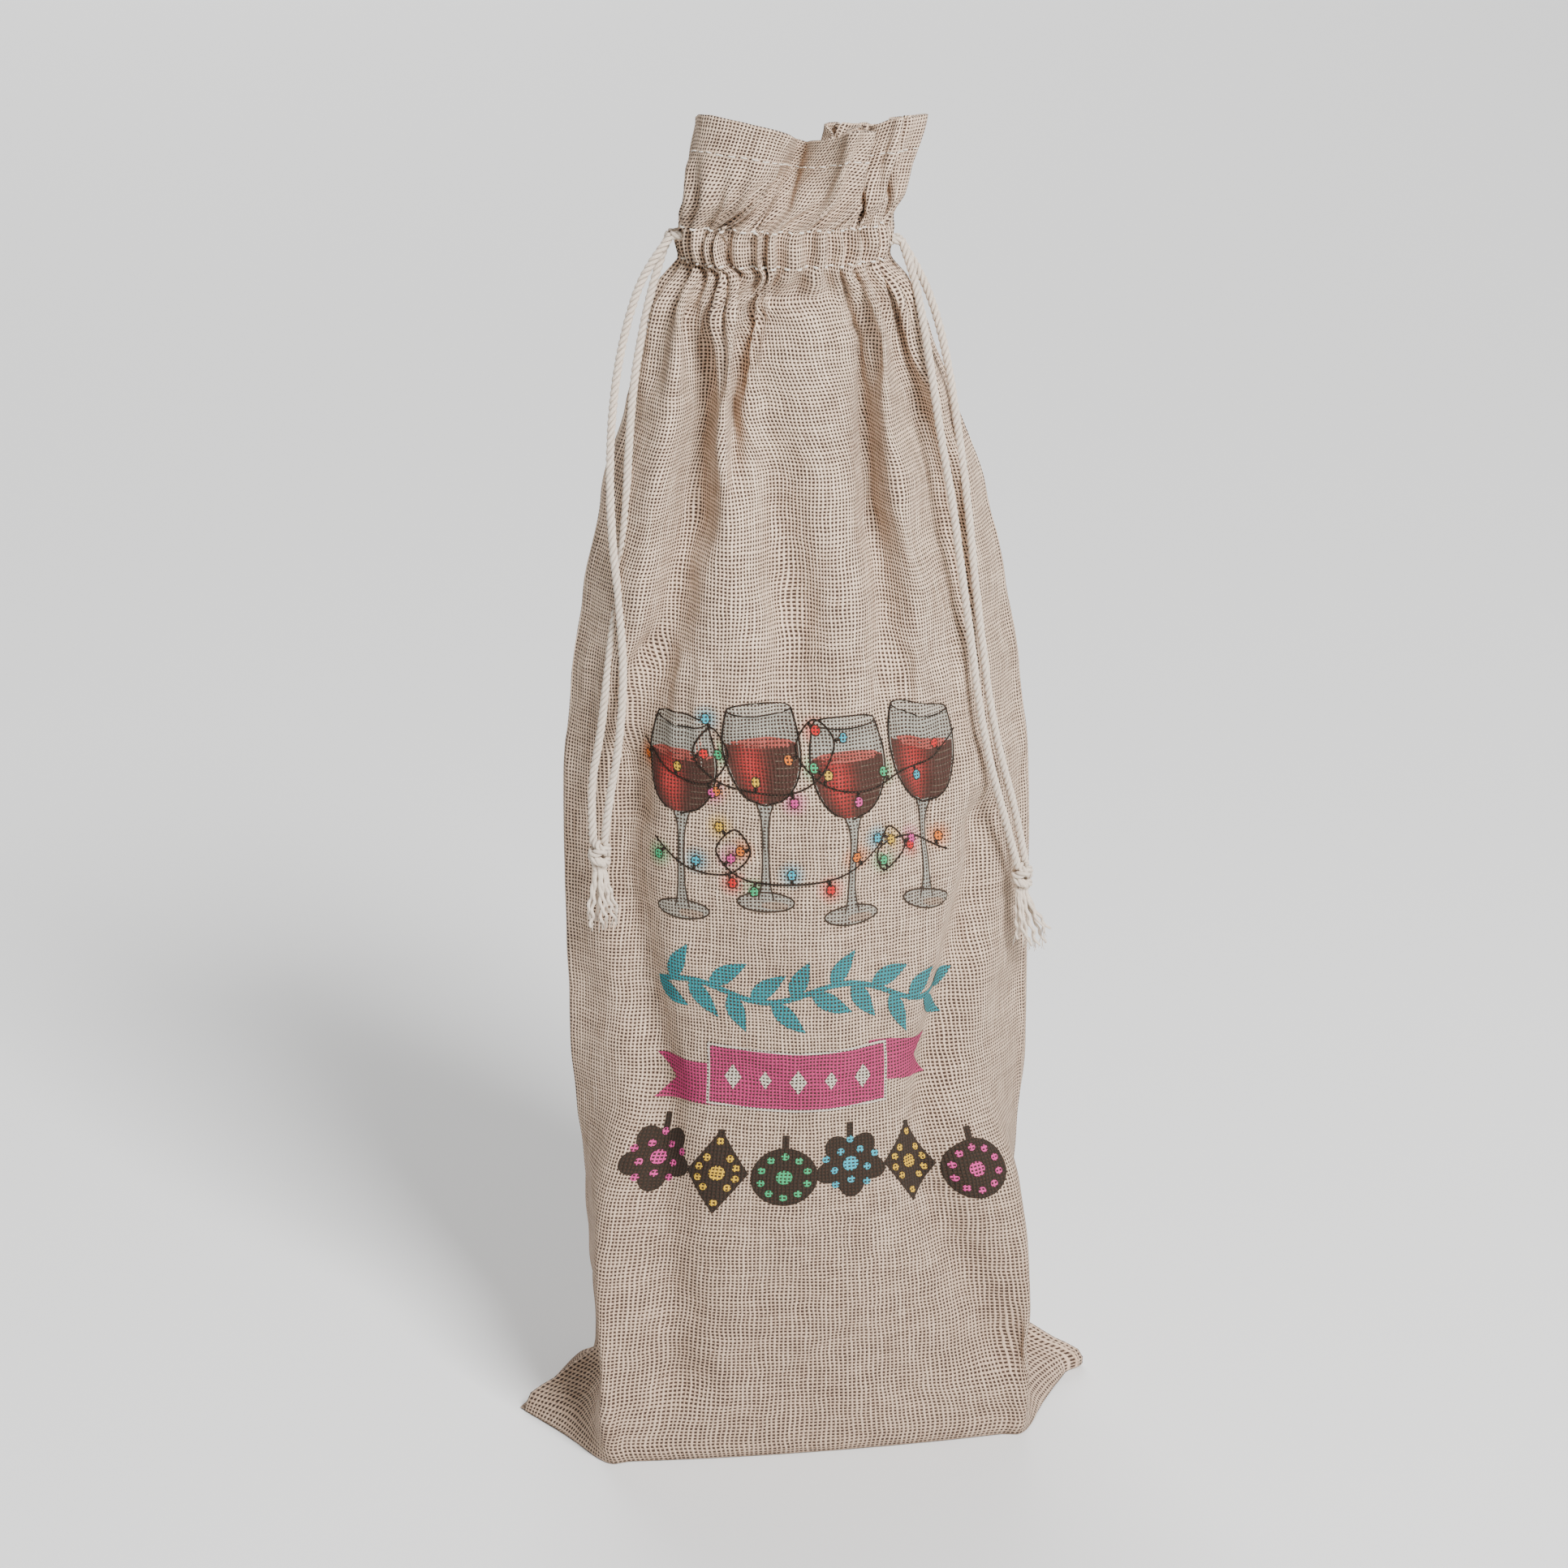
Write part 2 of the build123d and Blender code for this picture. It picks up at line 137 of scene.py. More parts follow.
MOUTH_BACK = {
    328.0: [(-27.8, 0), (-26, -6), (-23, -11), (-19, -11), (-15, -14), (-10, -15.5), (-6, -12.5), (-3, -15),
            (1.5, -16.5), (6, -13.5), (9.5, -15), (13, -15.5), (15.5, -11), (18, -13), (20.5, -11.5),
            (22.5, -8), (25, -6), (24.8, 0)],
    336.0: [(-27.8, 0), (-25, -4), (-22, -9.5), (-18.5, -7), (-15, -12.5), (-10, -14), (-6, -8.5),
            (-3, -13.5), (1.5, -15), (6, -9), (9.5, -13), (13, -14.5), (15.5, -7), (18, -12.5), (20.5, -11),
            (22.5, -6.5), (25, -6), (25.3, 0)],
    350.0: [(-25.2, 0), (-23, -4), (-20.5, -10), (-17.5, -8), (-13.5, -13), (-8.5, -14), (-5, -9),
            (-1.5, -13.5), (3, -15), (7, -10), (10.5, -14.5), (14.5, -16), (17, -8.5), (20, -14),
            (22.5, -12), (25, -7), (28, -6), (28.5, 0)],
}
MOUTH_BACK_HEIGHTS = [346, 343, 341, 339, 337, 335, 333, 332, 333, 337, 341.5, 342, 341, 341.5, 342, 343, 344,
                      345.5]
CASING_CENTRE = -2.8
CASING_HALF_WIDTH = 25.0
CASING_HALF_DEPTH = 18.0

# The body's outlines: height, left seam, right seam, depth, roundness
BODY = [
    (100.0, -60.4, 61.4, 38.6, 1.5),
    (130.0, -61.0, 61.1, 38.6, 1.45),
    (160.0, -61.3, 61.4, 38.4, 1.45),
    (180.0, -60.9, 60.9, 38.2, 1.45),
]
# The base's outlines: height, seam or ear tip, fold beside the corner, corner, depth at the middle
BASE = [
    (0.35, (75.5, 0.0), (65.5, 17.5), (56.0, 34.5), 37.2),
    (4.0, (76.0, 0.0), (61.5, 13.0), (56.4, 34.6), 38.2),
    (11.0, (65.0, 0.0), (56.0, 9.0), (57.0, 34.2), 38.3),
    (18.0, (54.5, 0.0), (53.0, 11.0), (57.3, 33.4), 38.3),
    (30.0, (53.5, 0.0), (54.0, 13.0), (57.6, 31.6), 38.3),
    (48.0, (55.0, 0.0), (56.0, 13.0), (57.6, 29.0), 38.3),
    (70.0, (58.0, 0.0), (57.5, 12.0), (56.5, 25.5), 38.4),
]

# How far the flat cloth goes for each millimetre of height above the base
CLOTH_PER_HEIGHT = (PANEL_LENGTH - BASE_DEPTH) / (TOP - BASE[0][0])


def level_of(z):
    """Return the place along the flat cloth of a height on the guide."""
    return BASE_DEPTH + (z - BASE[0][0]) * CLOTH_PER_HEIGHT


def height_of(level):
    """Return the height on the guide of a place along the flat cloth."""
    return BASE[0][0] + (level - BASE_DEPTH) / CLOTH_PER_HEIGHT


LOWER_LEVEL = level_of(LOWER_ROW)
UPPER_LEVEL = level_of(UPPER_ROW)
HEM_LEVEL = PANEL_LENGTH - HEM_FOLD + 0.8


def lens(left, right, depth, roundness):
    """Return the dense front half of a rounded lens between two seams."""
    turns = np.linspace(math.pi, 0.0, 241)
    power = 2.0 / roundness
    half = (right - left) / 2
    x = (left + right) / 2 + half * np.sign(np.cos(turns)) * np.abs(np.cos(turns)) ** power
    return np.column_stack([x, -depth * np.sin(turns) ** power])


def base_outline(tip, fold, corner, depth):
    """Return the front half of the base: two ears, two rounded corners and a bowed front edge."""
    side = [tip, fold, corner]
    places = np.linspace(-corner[0] + 6.5, corner[0] - 6.5, 8)
    bow = [(x, -corner[1] - (depth - corner[1]) * (1 - (x / corner[0]) ** 2)) for x in places]
    return np.array([(-x, -y) for x, y in side] + bow + [(x, -y) for x, y in side[::-1]])


def control_rows():
    """Return the heights below the casing and their control points, all with the same count."""
    shares = length_shares(np.array(NECK_FRONT[205.0], float))
    rows = [(height, base_outline(*outline)) for height, *outline in BASE]
    rows += [(height, resample(lens(*outline), shares)) for height, *outline in BODY]
    rows += [(height, np.array(points, float)) for height, points in NECK_FRONT.items()]
    return rows


def casing_outline(count):
    """Return the front half of the casing's oval, count + 1 points."""
    turns = np.linspace(math.pi, 0.0, count + 1)
    x = CASING_CENTRE + CASING_HALF_WIDTH * np.cos(turns)
    return np.column_stack([x, -CASING_HALF_DEPTH * np.sin(turns)])


def blend_rows(rows, height):
    """Return the dense outline at a height, blended between the two rows around it."""
    heights = [row[0] for row in rows]
    i = int(np.clip(np.searchsorted(heights, height) - 1, 0, len(rows) - 2))
    share = float(np.clip((height - heights[i]) / (heights[i + 1] - heights[i]), 0, 1))
    share = share * share * (3 - 2 * share) * 0.5 + share * 0.5
    lower, upper = rows[i][1], rows[i + 1][1]
    return through(lower + (upper - lower) * share, SPAN_SAMPLES)


def gather(outline, wave):
    """Ripple an outline along its normals, just deep enough to take up the cut width."""
    tangent = np.gradient(outline, axis=0)
    window = np.hanning(41) / np.hanning(41).sum()
    padded = np.pad(tangent, ((20, 20), (0, 0)), mode="edge")
    tangent = np.column_stack([np.convolve(padded[:, i], window, "valid") for i in (0, 1)])
    tangent /= np.linalg.norm(tangent, axis=1)[:, None] + 1e-9
    normal = np.column_stack([tangent[:, 1], -tangent[:, 0]])
    low, high = 0.0, 9.0
    for _ in range(24):
        depth = (low + high) / 2
        if path_length(outline + normal * (depth * wave)[:, None])[-1] < TAKEN_UP:
            low = depth
        else:
            high = depth
    return outline + normal * (low * wave)[:, None]


def gather_wave(count, rng, waves):
    """Return an irregular ripple along one panel: uneven widths and uneven depths."""
    bounds = np.cumsum(rng.uniform(0.5, 1.5, waves))
    bounds = np.concatenate([[0.0], bounds / bounds[-1]])
    phase = np.interp(np.linspace(0, 1, count), bounds, np.arange(waves + 1) * 2 * math.pi)
    sizes = np.interp(np.linspace(0, waves, count), np.arange(waves + 1), rng.uniform(0.5, 1.4, waves + 1))
    return -np.cos(phase) * sizes


def off_column(outline, z):
    """Return how much ripple an outline's points keep: hardly any where the bottle neck fills the cloth."""
    column = np.exp(-(((outline[:, 0] - 1.0) / 13.5) ** 6))
    return 1 - 0.96 * column * (1 - float(smooth(301, 310, z)))


def panel_ripples(side):
    """Return one panel's ripples in the casing and in the mouth, and its slight unevenness."""
    rng = np.random.default_rng(11 if side < 0 else 29)
    points = len(NECK_FRONT[205.0])
    count = (points - 1) * SPAN_SAMPLES + 1
    casing_wave = gather_wave(count, rng, 16)
    mouth_wave = gather_wave(count, rng, 13)
    jitter = rng.uniform(-1.6, 1.6, (points, 2))
    jitter[[0, -1]] = 0
    return casing_wave, mouth_wave, jitter


def turned_round(outline, middle):
    """Turn a front outline about a middle line into the one for the back, still drawn as a front."""
    return outline[::-1] * (-1, 1) + (2 * middle, 0)


def level_points(outline, z, shares):
    """Return a row of points along an outline, all at one height."""
    return np.column_stack([resample(outline, shares), np.full(len(shares), z)])


def middle_at(z):
    """Return the middle line, left to right, about which the back's outline mirrors the front's."""
    return np.interp(z, [0, 60, 250, NECK_TOP], [3.0, 1.5, -0.6, -2.6])


def base_row(rows, level, shares):
    """Return one row of the folded base, on the ground."""
    ground = BASE[0][0]
    return level_points(blend_rows(rows, ground), ground, shares) * (1, level / BASE_DEPTH, 1)


def neck_row(side, z, rows, wave, jitter):
    """Return the outline at a height between the ground and the casing."""
    outline = blend_rows(rows, z)
    if side > 0:
        bumps = through(jitter * float(smooth(190, 240, z)), SPAN_SAMPLES)
        outline = turned_round(outline, middle_at(z)) + bumps
    if z <= 190:
        return outline
    mask = 0.12 + 0.88 * float(smooth(272, 302, z))
    return gather(outline, wave * mask * off_column(outline, z))


def casing_row(side, z, rows, ring, wave):
    """Return the outline at a height in the casing, which swells a little between its stitch rows."""
    outline = ring
    if z < LOWER_ROW:
        lower = blend_rows(rows, NECK_TOP)
        if side > 0:
            lower = turned_round(lower, middle_at(NECK_TOP))
        share = float(smooth(NECK_TOP, LOWER_ROW, z))
        outline = lower + (resample(ring, length_shares(lower)) - lower) * share
    outline = gather(outline, wave * off_column(outline, z))
    swell = 0.9 * math.sin(math.pi * np.clip((z - LOWER_ROW) / (UPPER_ROW - LOWER_ROW), 0, 1)) - 0.4
    return outline + (outline - (CASING_CENTRE, 0)) * (swell / 22.0)


def mouth_row(side, z, ring, wave, fine_wave, shares):
    """Return one row above the casing: its gathers fade upward into the folds of the open mouth."""
    lines = [through(points, SPAN_SAMPLES) for points in (MOUTH_FRONT if side < 0 else MOUTH_BACK).values()]
    rim = MOUTH_HEIGHTS if side < 0 else MOUTH_BACK_HEIGHTS
    top = lines[-1]
    along = np.linspace(0, 1, len(top))
    edge = np.interp(along, np.linspace(0, 1, len(rim)), rim)
    places = length_shares(lines[0])
    ripple = np.interp(places, np.linspace(0, 1, len(wave)), wave)
    start = resample(gather(ring, wave), places)
    fine = np.interp(along, np.linspace(0, 1, len(fine_wave)), fine_wave)

    def fine_ripple(outline):
        inner = smooth(-4, 6, outline[:, 0]) if side < 0 else smooth(-22, -14, outline[:, 0])
        return fine * (0.06 + 0.94 * inner)

    share = (z - UPPER_ROW) / (TOP - UPPER_ROW)
    heights = [UPPER_ROW] + list(MOUTH_FRONT)
    lines = [start] + lines
    stage = int(np.clip(np.searchsorted(heights, z) - 1, 0, len(heights) - 2))
    part = (z - heights[stage]) / (heights[stage + 1] - heights[stage])
    outline = lines[stage] + (lines[stage + 1] - lines[stage]) * part
    open_up = float(smooth(0.0, 0.8, share))
    outline = gather(outline, ripple * (1 - open_up) + fine_ripple(outline) * open_up)
    # Each column leans evenly from its place in the casing to its place on the rim
    low = np.interp(shares, length_shares(start), along)
    high = np.interp(shares, length_shares(gather(top, fine_ripple(top))), along)
    column = low + (high - low) * share
    x = np.interp(column, along, outline[:, 0])
    y = np.interp(column, along, outline[:, 1])
    return np.column_stack([x, y, z + (np.interp(column, along, edge) - TOP) * share])


def panel_guide(side, levels):
    """Return one panel's guide surface: a point for each row and column, x, y, z in millimetres."""
    rows = control_rows()
    wave, fine_wave, jitter = panel_ripples(side)
    ring = casing_outline(len(wave) - 1)
    shares = np.linspace(0, 1, COLUMNS + 1)
    guide = []
    for level in levels:
        z = height_of(level)
        if level < BASE_DEPTH:
            guide.append(base_row(rows, level, shares))
        elif z > UPPER_ROW:
            guide.append(mouth_row(side, z, ring, wave, fine_wave, shares))
        elif z > NECK_TOP:
            guide.append(level_points(casing_row(side, z, rows, ring, wave), z, shares))
        else:
            guide.append(level_points(neck_row(side, z, rows, wave, jitter), z, shares))
    return np.array(guide) * (1, -side, 1)


def row_levels():
    """Return the rows' places along the cut length: close together where the cloth is gathered."""
    base = np.linspace(0.0, BASE_DEPTH, 11)[:-1]
    body = np.linspace(BASE_DEPTH, 215.0, 42)[:-1]
    neck = np.linspace(215.0, 335.0, 50)[:-1]
    mouth = np.linspace(335.0, PANEL_LENGTH, 33)
    return np.concatenate([base, body, neck, mouth])


def bottle_radius(z):
    """Return the radius of the bottle that the cloth rests on, at a height."""
    heights = [0, 2, 190, 200, 210, 222, 234, 300, 301]
    return np.interp(z, heights, [35, 37.3, 37.3, 35.6, 31.0, 22.0, 15.2, 14.7, 0])


# Each step of settling: the pull along threads and along diagonals, the share of each bend that is
# smoothed away round the bag and up it, and the fall in millimetres. CLOTH_LIFT is how far the cloth
# stays off the bottle.
THREAD_PULL = 0.9
DIAGONAL_PULL = 0.12
ROUNDING = 0.1
STRAIGHTENING = 0.05
SAG = 0.002
SETTLING_STEPS = 60
CLOTH_LIFT = 0.4


def rest_lengths(cloth, levels):
    """Return the cut lengths that the cloth keeps: across, up and along its diagonals."""
    guide_across = np.linalg.norm(np.roll(cloth, -1, axis=1) - cloth, axis=2)
    low = smooth(95.0, 45.0, cloth[:, :, 2])
    across = PANEL_WIDTH / COLUMNS * (1 - low) + guide_across * low
    up = np.minimum(np.linalg.norm(cloth[1:] - cloth[:-1], axis=2), np.diff(levels)[:, None] * 1.04)
    return across, up, np.sqrt(across[:-1] ** 2 + up**2)


def hold_shares(z):
    """Return how strongly the guide holds each point: the body loosely, the base and top firmly."""
    hold = 0.01 + 0.2 * smooth(185, 212, z) + 0.6 * (1 - smooth(20, 60, z))
    hold = np.where((z > LOWER_ROW - 0.8) & (z < UPPER_ROW + 0.8), 0.5, hold)
    hold = np.where(z > UPPER_ROW + 0.8, 0.3, hold)
    hold[:, [0, COLUMNS]] = np.maximum(hold[:, [0, COLUMNS]], 0.08)
    return hold[:, :, None]


def pull(position, a, b, rest, stiffness):
    """Draw pairs of points toward their rest distance."""
    gap = position[b] - position[a]
    length = np.linalg.norm(gap, axis=-1)
    move = gap * (stiffness * 0.5 * (length - rest) / (length + 1e-9))[..., None]
    position[a] += move
    position[b] -= move


def keep_off_bottle(position, z_start):
    """Push the cloth out of the bottle and up off the ground."""
    reach = np.hypot(position[:, :, 0], position[:, :, 1])
    inside = bottle_radius(position[:, :, 2]) + CLOTH_LIFT
    push = np.where((reach < inside) & (z_start > 3.0), inside / np.maximum(reach, 1e-6), 1.0)
    position[:, :, :2] *= push[:, :, None]
    position[:, :, 2] = np.maximum(position[:, :, 2], 0.3)


def relax(cloth, levels):
    """Let the cloth settle: keep its cut lengths, round its folds, and keep it off the bottle."""
    position = cloth.copy()
    rows, columns, _ = position.shape
    across, up, diagonal = rest_lengths(cloth, levels)
    hold = hold_shares(cloth[:, :, 2])
    for _ in range(SETTLING_STEPS):
        for start in (0, 1):
            here = (slice(None), slice(start, columns, 2))
            beside = (slice(None), np.arange(start + 1, columns + 1, 2) % columns)
            pull(position, here, beside, across[:, start::2], THREAD_PULL)
        for start in (0, 1):
            below, above = slice(start, rows - 1, 2), slice(start + 1, rows, 2)
            pull(position, (below,), (above,), up[start : rows - 1 : 2], THREAD_PULL)
        for start in (0, 1):
            for shift in (1, -1):
                a = (np.arange(start, rows - 1, 2)[:, None], np.arange(columns)[None, :])
                b = (a[0] + 1, (a[1] + shift) % columns)
                pull(position, a, b, diagonal[start::2], DIAGONAL_PULL)
        around = 0.5 * (np.roll(position, 1, axis=1) + np.roll(position, -1, axis=1)) - position
        around -= 0.5 * (np.roll(around, 1, axis=1) + np.roll(around, -1, axis=1))
        position += ROUNDING * around
        along = np.zeros_like(position)
        along[1:-1] = 0.5 * (position[2:] + position[:-2]) - position[1:-1]
        position += STRAIGHTENING * along
        position[:, :, 2] -= SAG
        position += hold * (cloth - position)
        keep_off_bottle(position, cloth[:, :, 2])
    return position


def refine(grid):
    """Double a grid's rows and columns along smooth curves through its points."""
    for _ in range(2):
        padded = np.concatenate([2 * grid[:1] - grid[1:2], grid, 2 * grid[-1:] - grid[-2:-1]])
        finer = np.empty((2 * len(grid) - 1,) + grid.shape[1:])
        finer[::2] = grid
        finer[1::2] = (9 * (padded[1:-2] + padded[2:-1]) - padded[:-3] - padded[3:]) / 16
        grid = finer.swapaxes(0, 1)
    return grid


class Cloth:
    """One settled panel: finds the place and the outward direction of any point of the flat cloth."""

    def __init__(self, points, levels):
        self.points = points
        self.levels = levels
        across = np.gradient(points, axis=1)
        up = np.gradient(points, axis=0)
        normals = np.cross(across, up)
        self.normals = normals / (np.linalg.norm(normals, axis=2)[:, :, None] + 1e-12)

    def place(self, u, v, lift=0.0):
        """Return the points at u across and v along the flat cloth, lifted off it, in millimetres."""
        u, v = np.broadcast_arrays(np.asarray(u, float), np.asarray(v, float))
        last_row, last_column = self.points.shape[0] - 1, self.points.shape[1] - 1
        column = np.clip((u / PANEL_WIDTH + 0.5) * last_column, 0, last_column - 1e-6)
        row = np.clip(np.interp(v, self.levels, np.arange(last_row + 1)), 0, last_row - 1e-6)
        i, j = row.astype(int), column.astype(int)
        s, t = (row - i)[..., None], (column - j)[..., None]

        def mix(grid):
            low = grid[i, j] * (1 - t) + grid[i, j + 1] * t
            high = grid[i + 1, j] * (1 - t) + grid[i + 1, j + 1] * t
            return low * (1 - s) + high * s

        return mix(self.points) + mix(self.normals) * np.asarray(lift)[..., None]


# ---------------------------------------------------------------- meshes
def new_object(name, vertices, faces, materials=(), uv=None, colours=None, body="bag"):
    """Make a smooth mesh object from points in metres, and let it ride on a body."""
    mesh = bpy.data.meshes.new(name)
    mesh.from_pydata(np.asarray(vertices).tolist(), [], faces)
    mesh.polygons.foreach_set("use_smooth", np.ones(len(mesh.polygons), dtype=bool))
    if uv is not None:
        corners = np.empty(len(mesh.loops), dtype=np.int32)
        mesh.loops.foreach_get("vertex_index", corners)
        layer = mesh.uv_layers.new(name="flat")
        layer.data.foreach_set("uv", np.asarray(uv)[corners].astype(np.float32).ravel())
    if colours is not None:
        # The colour attribute carries the print's ink, and on the cords the painted shade between plies and
        # the darker tassel tips
        layer = mesh.color_attributes.new(name="ink", type="FLOAT_COLOR", domain="POINT")
        layer.data.foreach_set("color", np.asarray(colours, dtype=np.float32).ravel())
    for material in materials:
        mesh.materials.append(material)
    piece = bpy.data.objects.new(name, mesh)
    bpy.context.scene.collection.objects.link(piece)
    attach(piece, body)
    return piece


def grid_faces(rows, columns, start=0, around=False):
    """Return the four-sided faces of a grid of points, closed round its columns if asked."""
    index = np.arange(rows * columns).reshape(rows, columns) + start
    if around:
        index = np.concatenate([index, index[:, :1]], axis=1)
    faces = np.stack([index[:-1, :-1], index[:-1, 1:], index[1:, 1:], index[1:, :-1]], axis=-1)
    return faces.reshape(-1, 4).tolist()


class Parts:
    """Gathers grids of points that become one mesh."""

    def __init__(self):
        self.vertices, self.faces, self.uv, self.colours = [], [], [], []
        self.count = 0

    def add(self, grid, uv=None, colour=None, around=False):
        rows, columns = grid.shape[:2]
        self.faces += grid_faces(rows, columns, self.count, around)
        self.vertices.append(grid.reshape(-1, 3))
        flat_places = np.zeros((rows * columns, 2)) if uv is None else uv.reshape(-1, 2)
        self.uv.append(flat_places)
        tint = np.ones((rows * columns, 4)) if colour is None else colour.reshape(-1, 4)
        self.colours.append(tint)
        self.count += rows * columns

    def build(self, name, material, body="bag", slot=None, coloured=False):
        colours = np.concatenate(self.colours) if coloured else None
        vertices = np.concatenate(self.vertices) * MM
        uv = np.concatenate(self.uv)
        return new_object(name, vertices, self.faces, [material], uv, colours, body)


def frames_along(points, first_normal):
    """Carry a direction along a line without twisting it, and return tangent, normal and side."""
    tangents = np.gradient(points, axis=0)
    tangents /= np.linalg.norm(tangents, axis=1)[:, None]
    normals = np.empty_like(points)
    normal = np.asarray(first_normal, float)
    for i, tangent in enumerate(tangents):
        normal = normal - tangent * normal.dot(tangent)
        normal /= np.linalg.norm(normal)
        normals[i] = normal
    return tangents, normals, np.cross(tangents, normals)


def add_tube(parts, points, radius, first_normal=(0, 1, 0), sides=8, colour=None, core=None):
    """Add a round tube along a line, with uneven radii if given; near a rope's core it carries painted shade,
    for the grooves between plies.
    """
    tangents, normals, binormals = frames_along(points, first_normal)
    radii = np.broadcast_to(radius, len(points)).copy()
    turns = np.arange(sides) * 2 * math.pi / sides
    ring = normals[:, None] * np.cos(turns)[None, :, None] + binormals[:, None] * np.sin(turns)[None, :, None]
    grid = points[:, None] + ring * radii[:, None, None]
    cap_start = np.repeat(points[:1] - tangents[:1] * radii[0] * 0.5, sides, axis=0)[None]
    cap_end = np.repeat(points[-1:] + tangents[-1:] * radii[-1] * 0.5, sides, axis=0)[None]
    grid = np.concatenate([cap_start, grid, cap_end])
    lengths = np.concatenate([[0], path_length(points), [path_length(points)[-1]]])
    uv = np.stack(np.meshgrid(turns, lengths), axis=-1)
    tint = None if colour is None else np.broadcast_to(colour, grid.shape[:2] + (4,))
    if core is not None:
        axis = np.concatenate([core[:1], core, core[-1:]])[:, None]
        tint = np.ones(grid.shape[:2] + (4,))
        # Painted shade: the plies are darker near the rope's core, in the grooves where they meet
        tint[:, :, 3] = 0.42 + 0.58 * smooth(0.6, 1.0, np.linalg.norm(grid - axis, axis=2))
    parts.add(grid, uv=uv, colour=tint, around=True)


# ---------------------------------------------------------------- materials
def nodes_of(name):
    """Start a material and return it with its node tree and its surface shader."""
    material = bpy.data.materials.new(name)
    material.use_nodes = True
    tree = material.node_tree
    return material, tree, tree.nodes["Principled BSDF"]


class Graph:
    """Short names for the shader nodes that the materials are made of."""

    def __init__(self, tree):
        self.tree = tree

    def feed(self, socket, value):
        if isinstance(value, bpy.types.NodeSocket):
            self.tree.links.new(value, socket)
        else:
            socket.default_value = value

    def add(self, kind, inputs, **settings):
        """Add a node, feed its inputs by their names or numbers, and return its outputs."""
        node = self.tree.nodes.new("ShaderNode" + kind)
        for name, value in settings.items():
            setattr(node, name, value)
        for key, value in inputs.items():
            self.feed(node.inputs[key], value)
        return node.outputs

    def math(self, operation, a, b=0.0, c=0.0):
        return self.add("Math", {0: a, 1: b, 2: c}, operation=operation)[0]

    def plus(self, a, b):
        return self.math("ADD", a, b)

    def minus(self, a, b):
        return self.math("SUBTRACT", a, b)

    def times(self, a, b):
        return self.math("MULTIPLY", a, b)

    def over(self, a, b):
        return self.math("DIVIDE", a, b)

    def times_plus(self, a, b, c):
        return self.math("MULTIPLY_ADD", a, b, c)

    def size(self, a):
        return self.math("ABSOLUTE", a)

    def greater(self, a, b):
        return self.math("MAXIMUM", a, b)

    def mix(self, share, a, b):
        return self.add("Mix", {"Factor": share, "A": a, "B": b}, data_type="RGBA")["Result"]

    def noise(self, vector, scale, detail=2.0, roughness=0.5):
        inputs = {"Vector": vector, "Scale": scale, "Detail": detail, "Roughness": roughness}
        return self.add("TexNoise", inputs)["Fac"]

    def ramp(self, value, low, high, to_low=0.0, to_high=1.0):
        inputs = {0: value, 1: low, 2: high, 3: to_low, 4: to_high}
        return self.add("MapRange", inputs, interpolation_type="SMOOTHSTEP")[0]

    def combine(self, x, y, z=0.0):
        return self.add("CombineXYZ", {0: x, 1: y, 2: z})[0]

    def flat_place(self):
        """Return the two numbers of the mesh's flat map."""
        place = self.add("UVMap", {}, uv_map="flat")["UV"]
        split = self.add("SeparateXYZ", {0: place})
        return split["X"], split["Y"]

    def ink(self):
        """Return the colour and the strength that the mesh carries at each point: the print's ink, and on the
        cords their painted ply shade and darker tassel tips.
        """
        carried = self.add("Attribute", {}, attribute_name="ink")
        return carried["Color"], carried["Alpha"]

    def finish(self, shader, colour, height, strength, distance, settings):
        """Give the surface its colour, its plain settings and its relief."""
        self.feed(shader.inputs["Base Color"], colour)
        for name, value in settings.items():
            shader.inputs[name].default_value = value
        bump = self.add("Bump", {"Strength": strength, "Distance": distance, "Height": height})
        self.feed(shader.inputs["Normal"], bump["Normal"])


# The cloth's colours: its palest and darkest threads and what lies over them; then the painted shade toward
# the bag's base, in the weave's low parts, between its threads and between a cord's plies, whose colour also
# darkens some tassel tips
PALE_THREAD = (1.0, 0.775, 0.585, 1)
DARK_THREAD = (0.60, 0.405, 0.275, 1)
PATCH = (0.58, 0.41, 0.30, 1)
BASE_SHADE = (0.40, 0.27, 0.19, 1)
SPECK = (0.12, 0.07, 0.045, 1)
THREAD_SHADE = (0.20, 0.13, 0.09, 1)
SHADE_BETWEEN_THREADS = (0.05, 0.03, 0.022, 1)
PLY_SHADE_AND_DARK_TIPS = (0.10, 0.06, 0.045, 1)


def thread_tones(graph, across, along):
    """Return each warp and each weft thread's own tone, which also changes slowly along it."""
    warp_index = graph.math("FLOOR", across)
    weft_index = graph.math("FLOOR", along)
    warp_line = graph.combine(graph.times(warp_index, 3.7), graph.times(along, 0.09))
    warp_tone = graph.noise(warp_line, 1.0, 1.0)
    weft_line = graph.combine(graph.times(across, 0.09), graph.times(weft_index, 3.7), 5.0)
    weft_tone = graph.noise(weft_line, 1.0, 1.0)
    return warp_index, weft_index, warp_tone, weft_tone


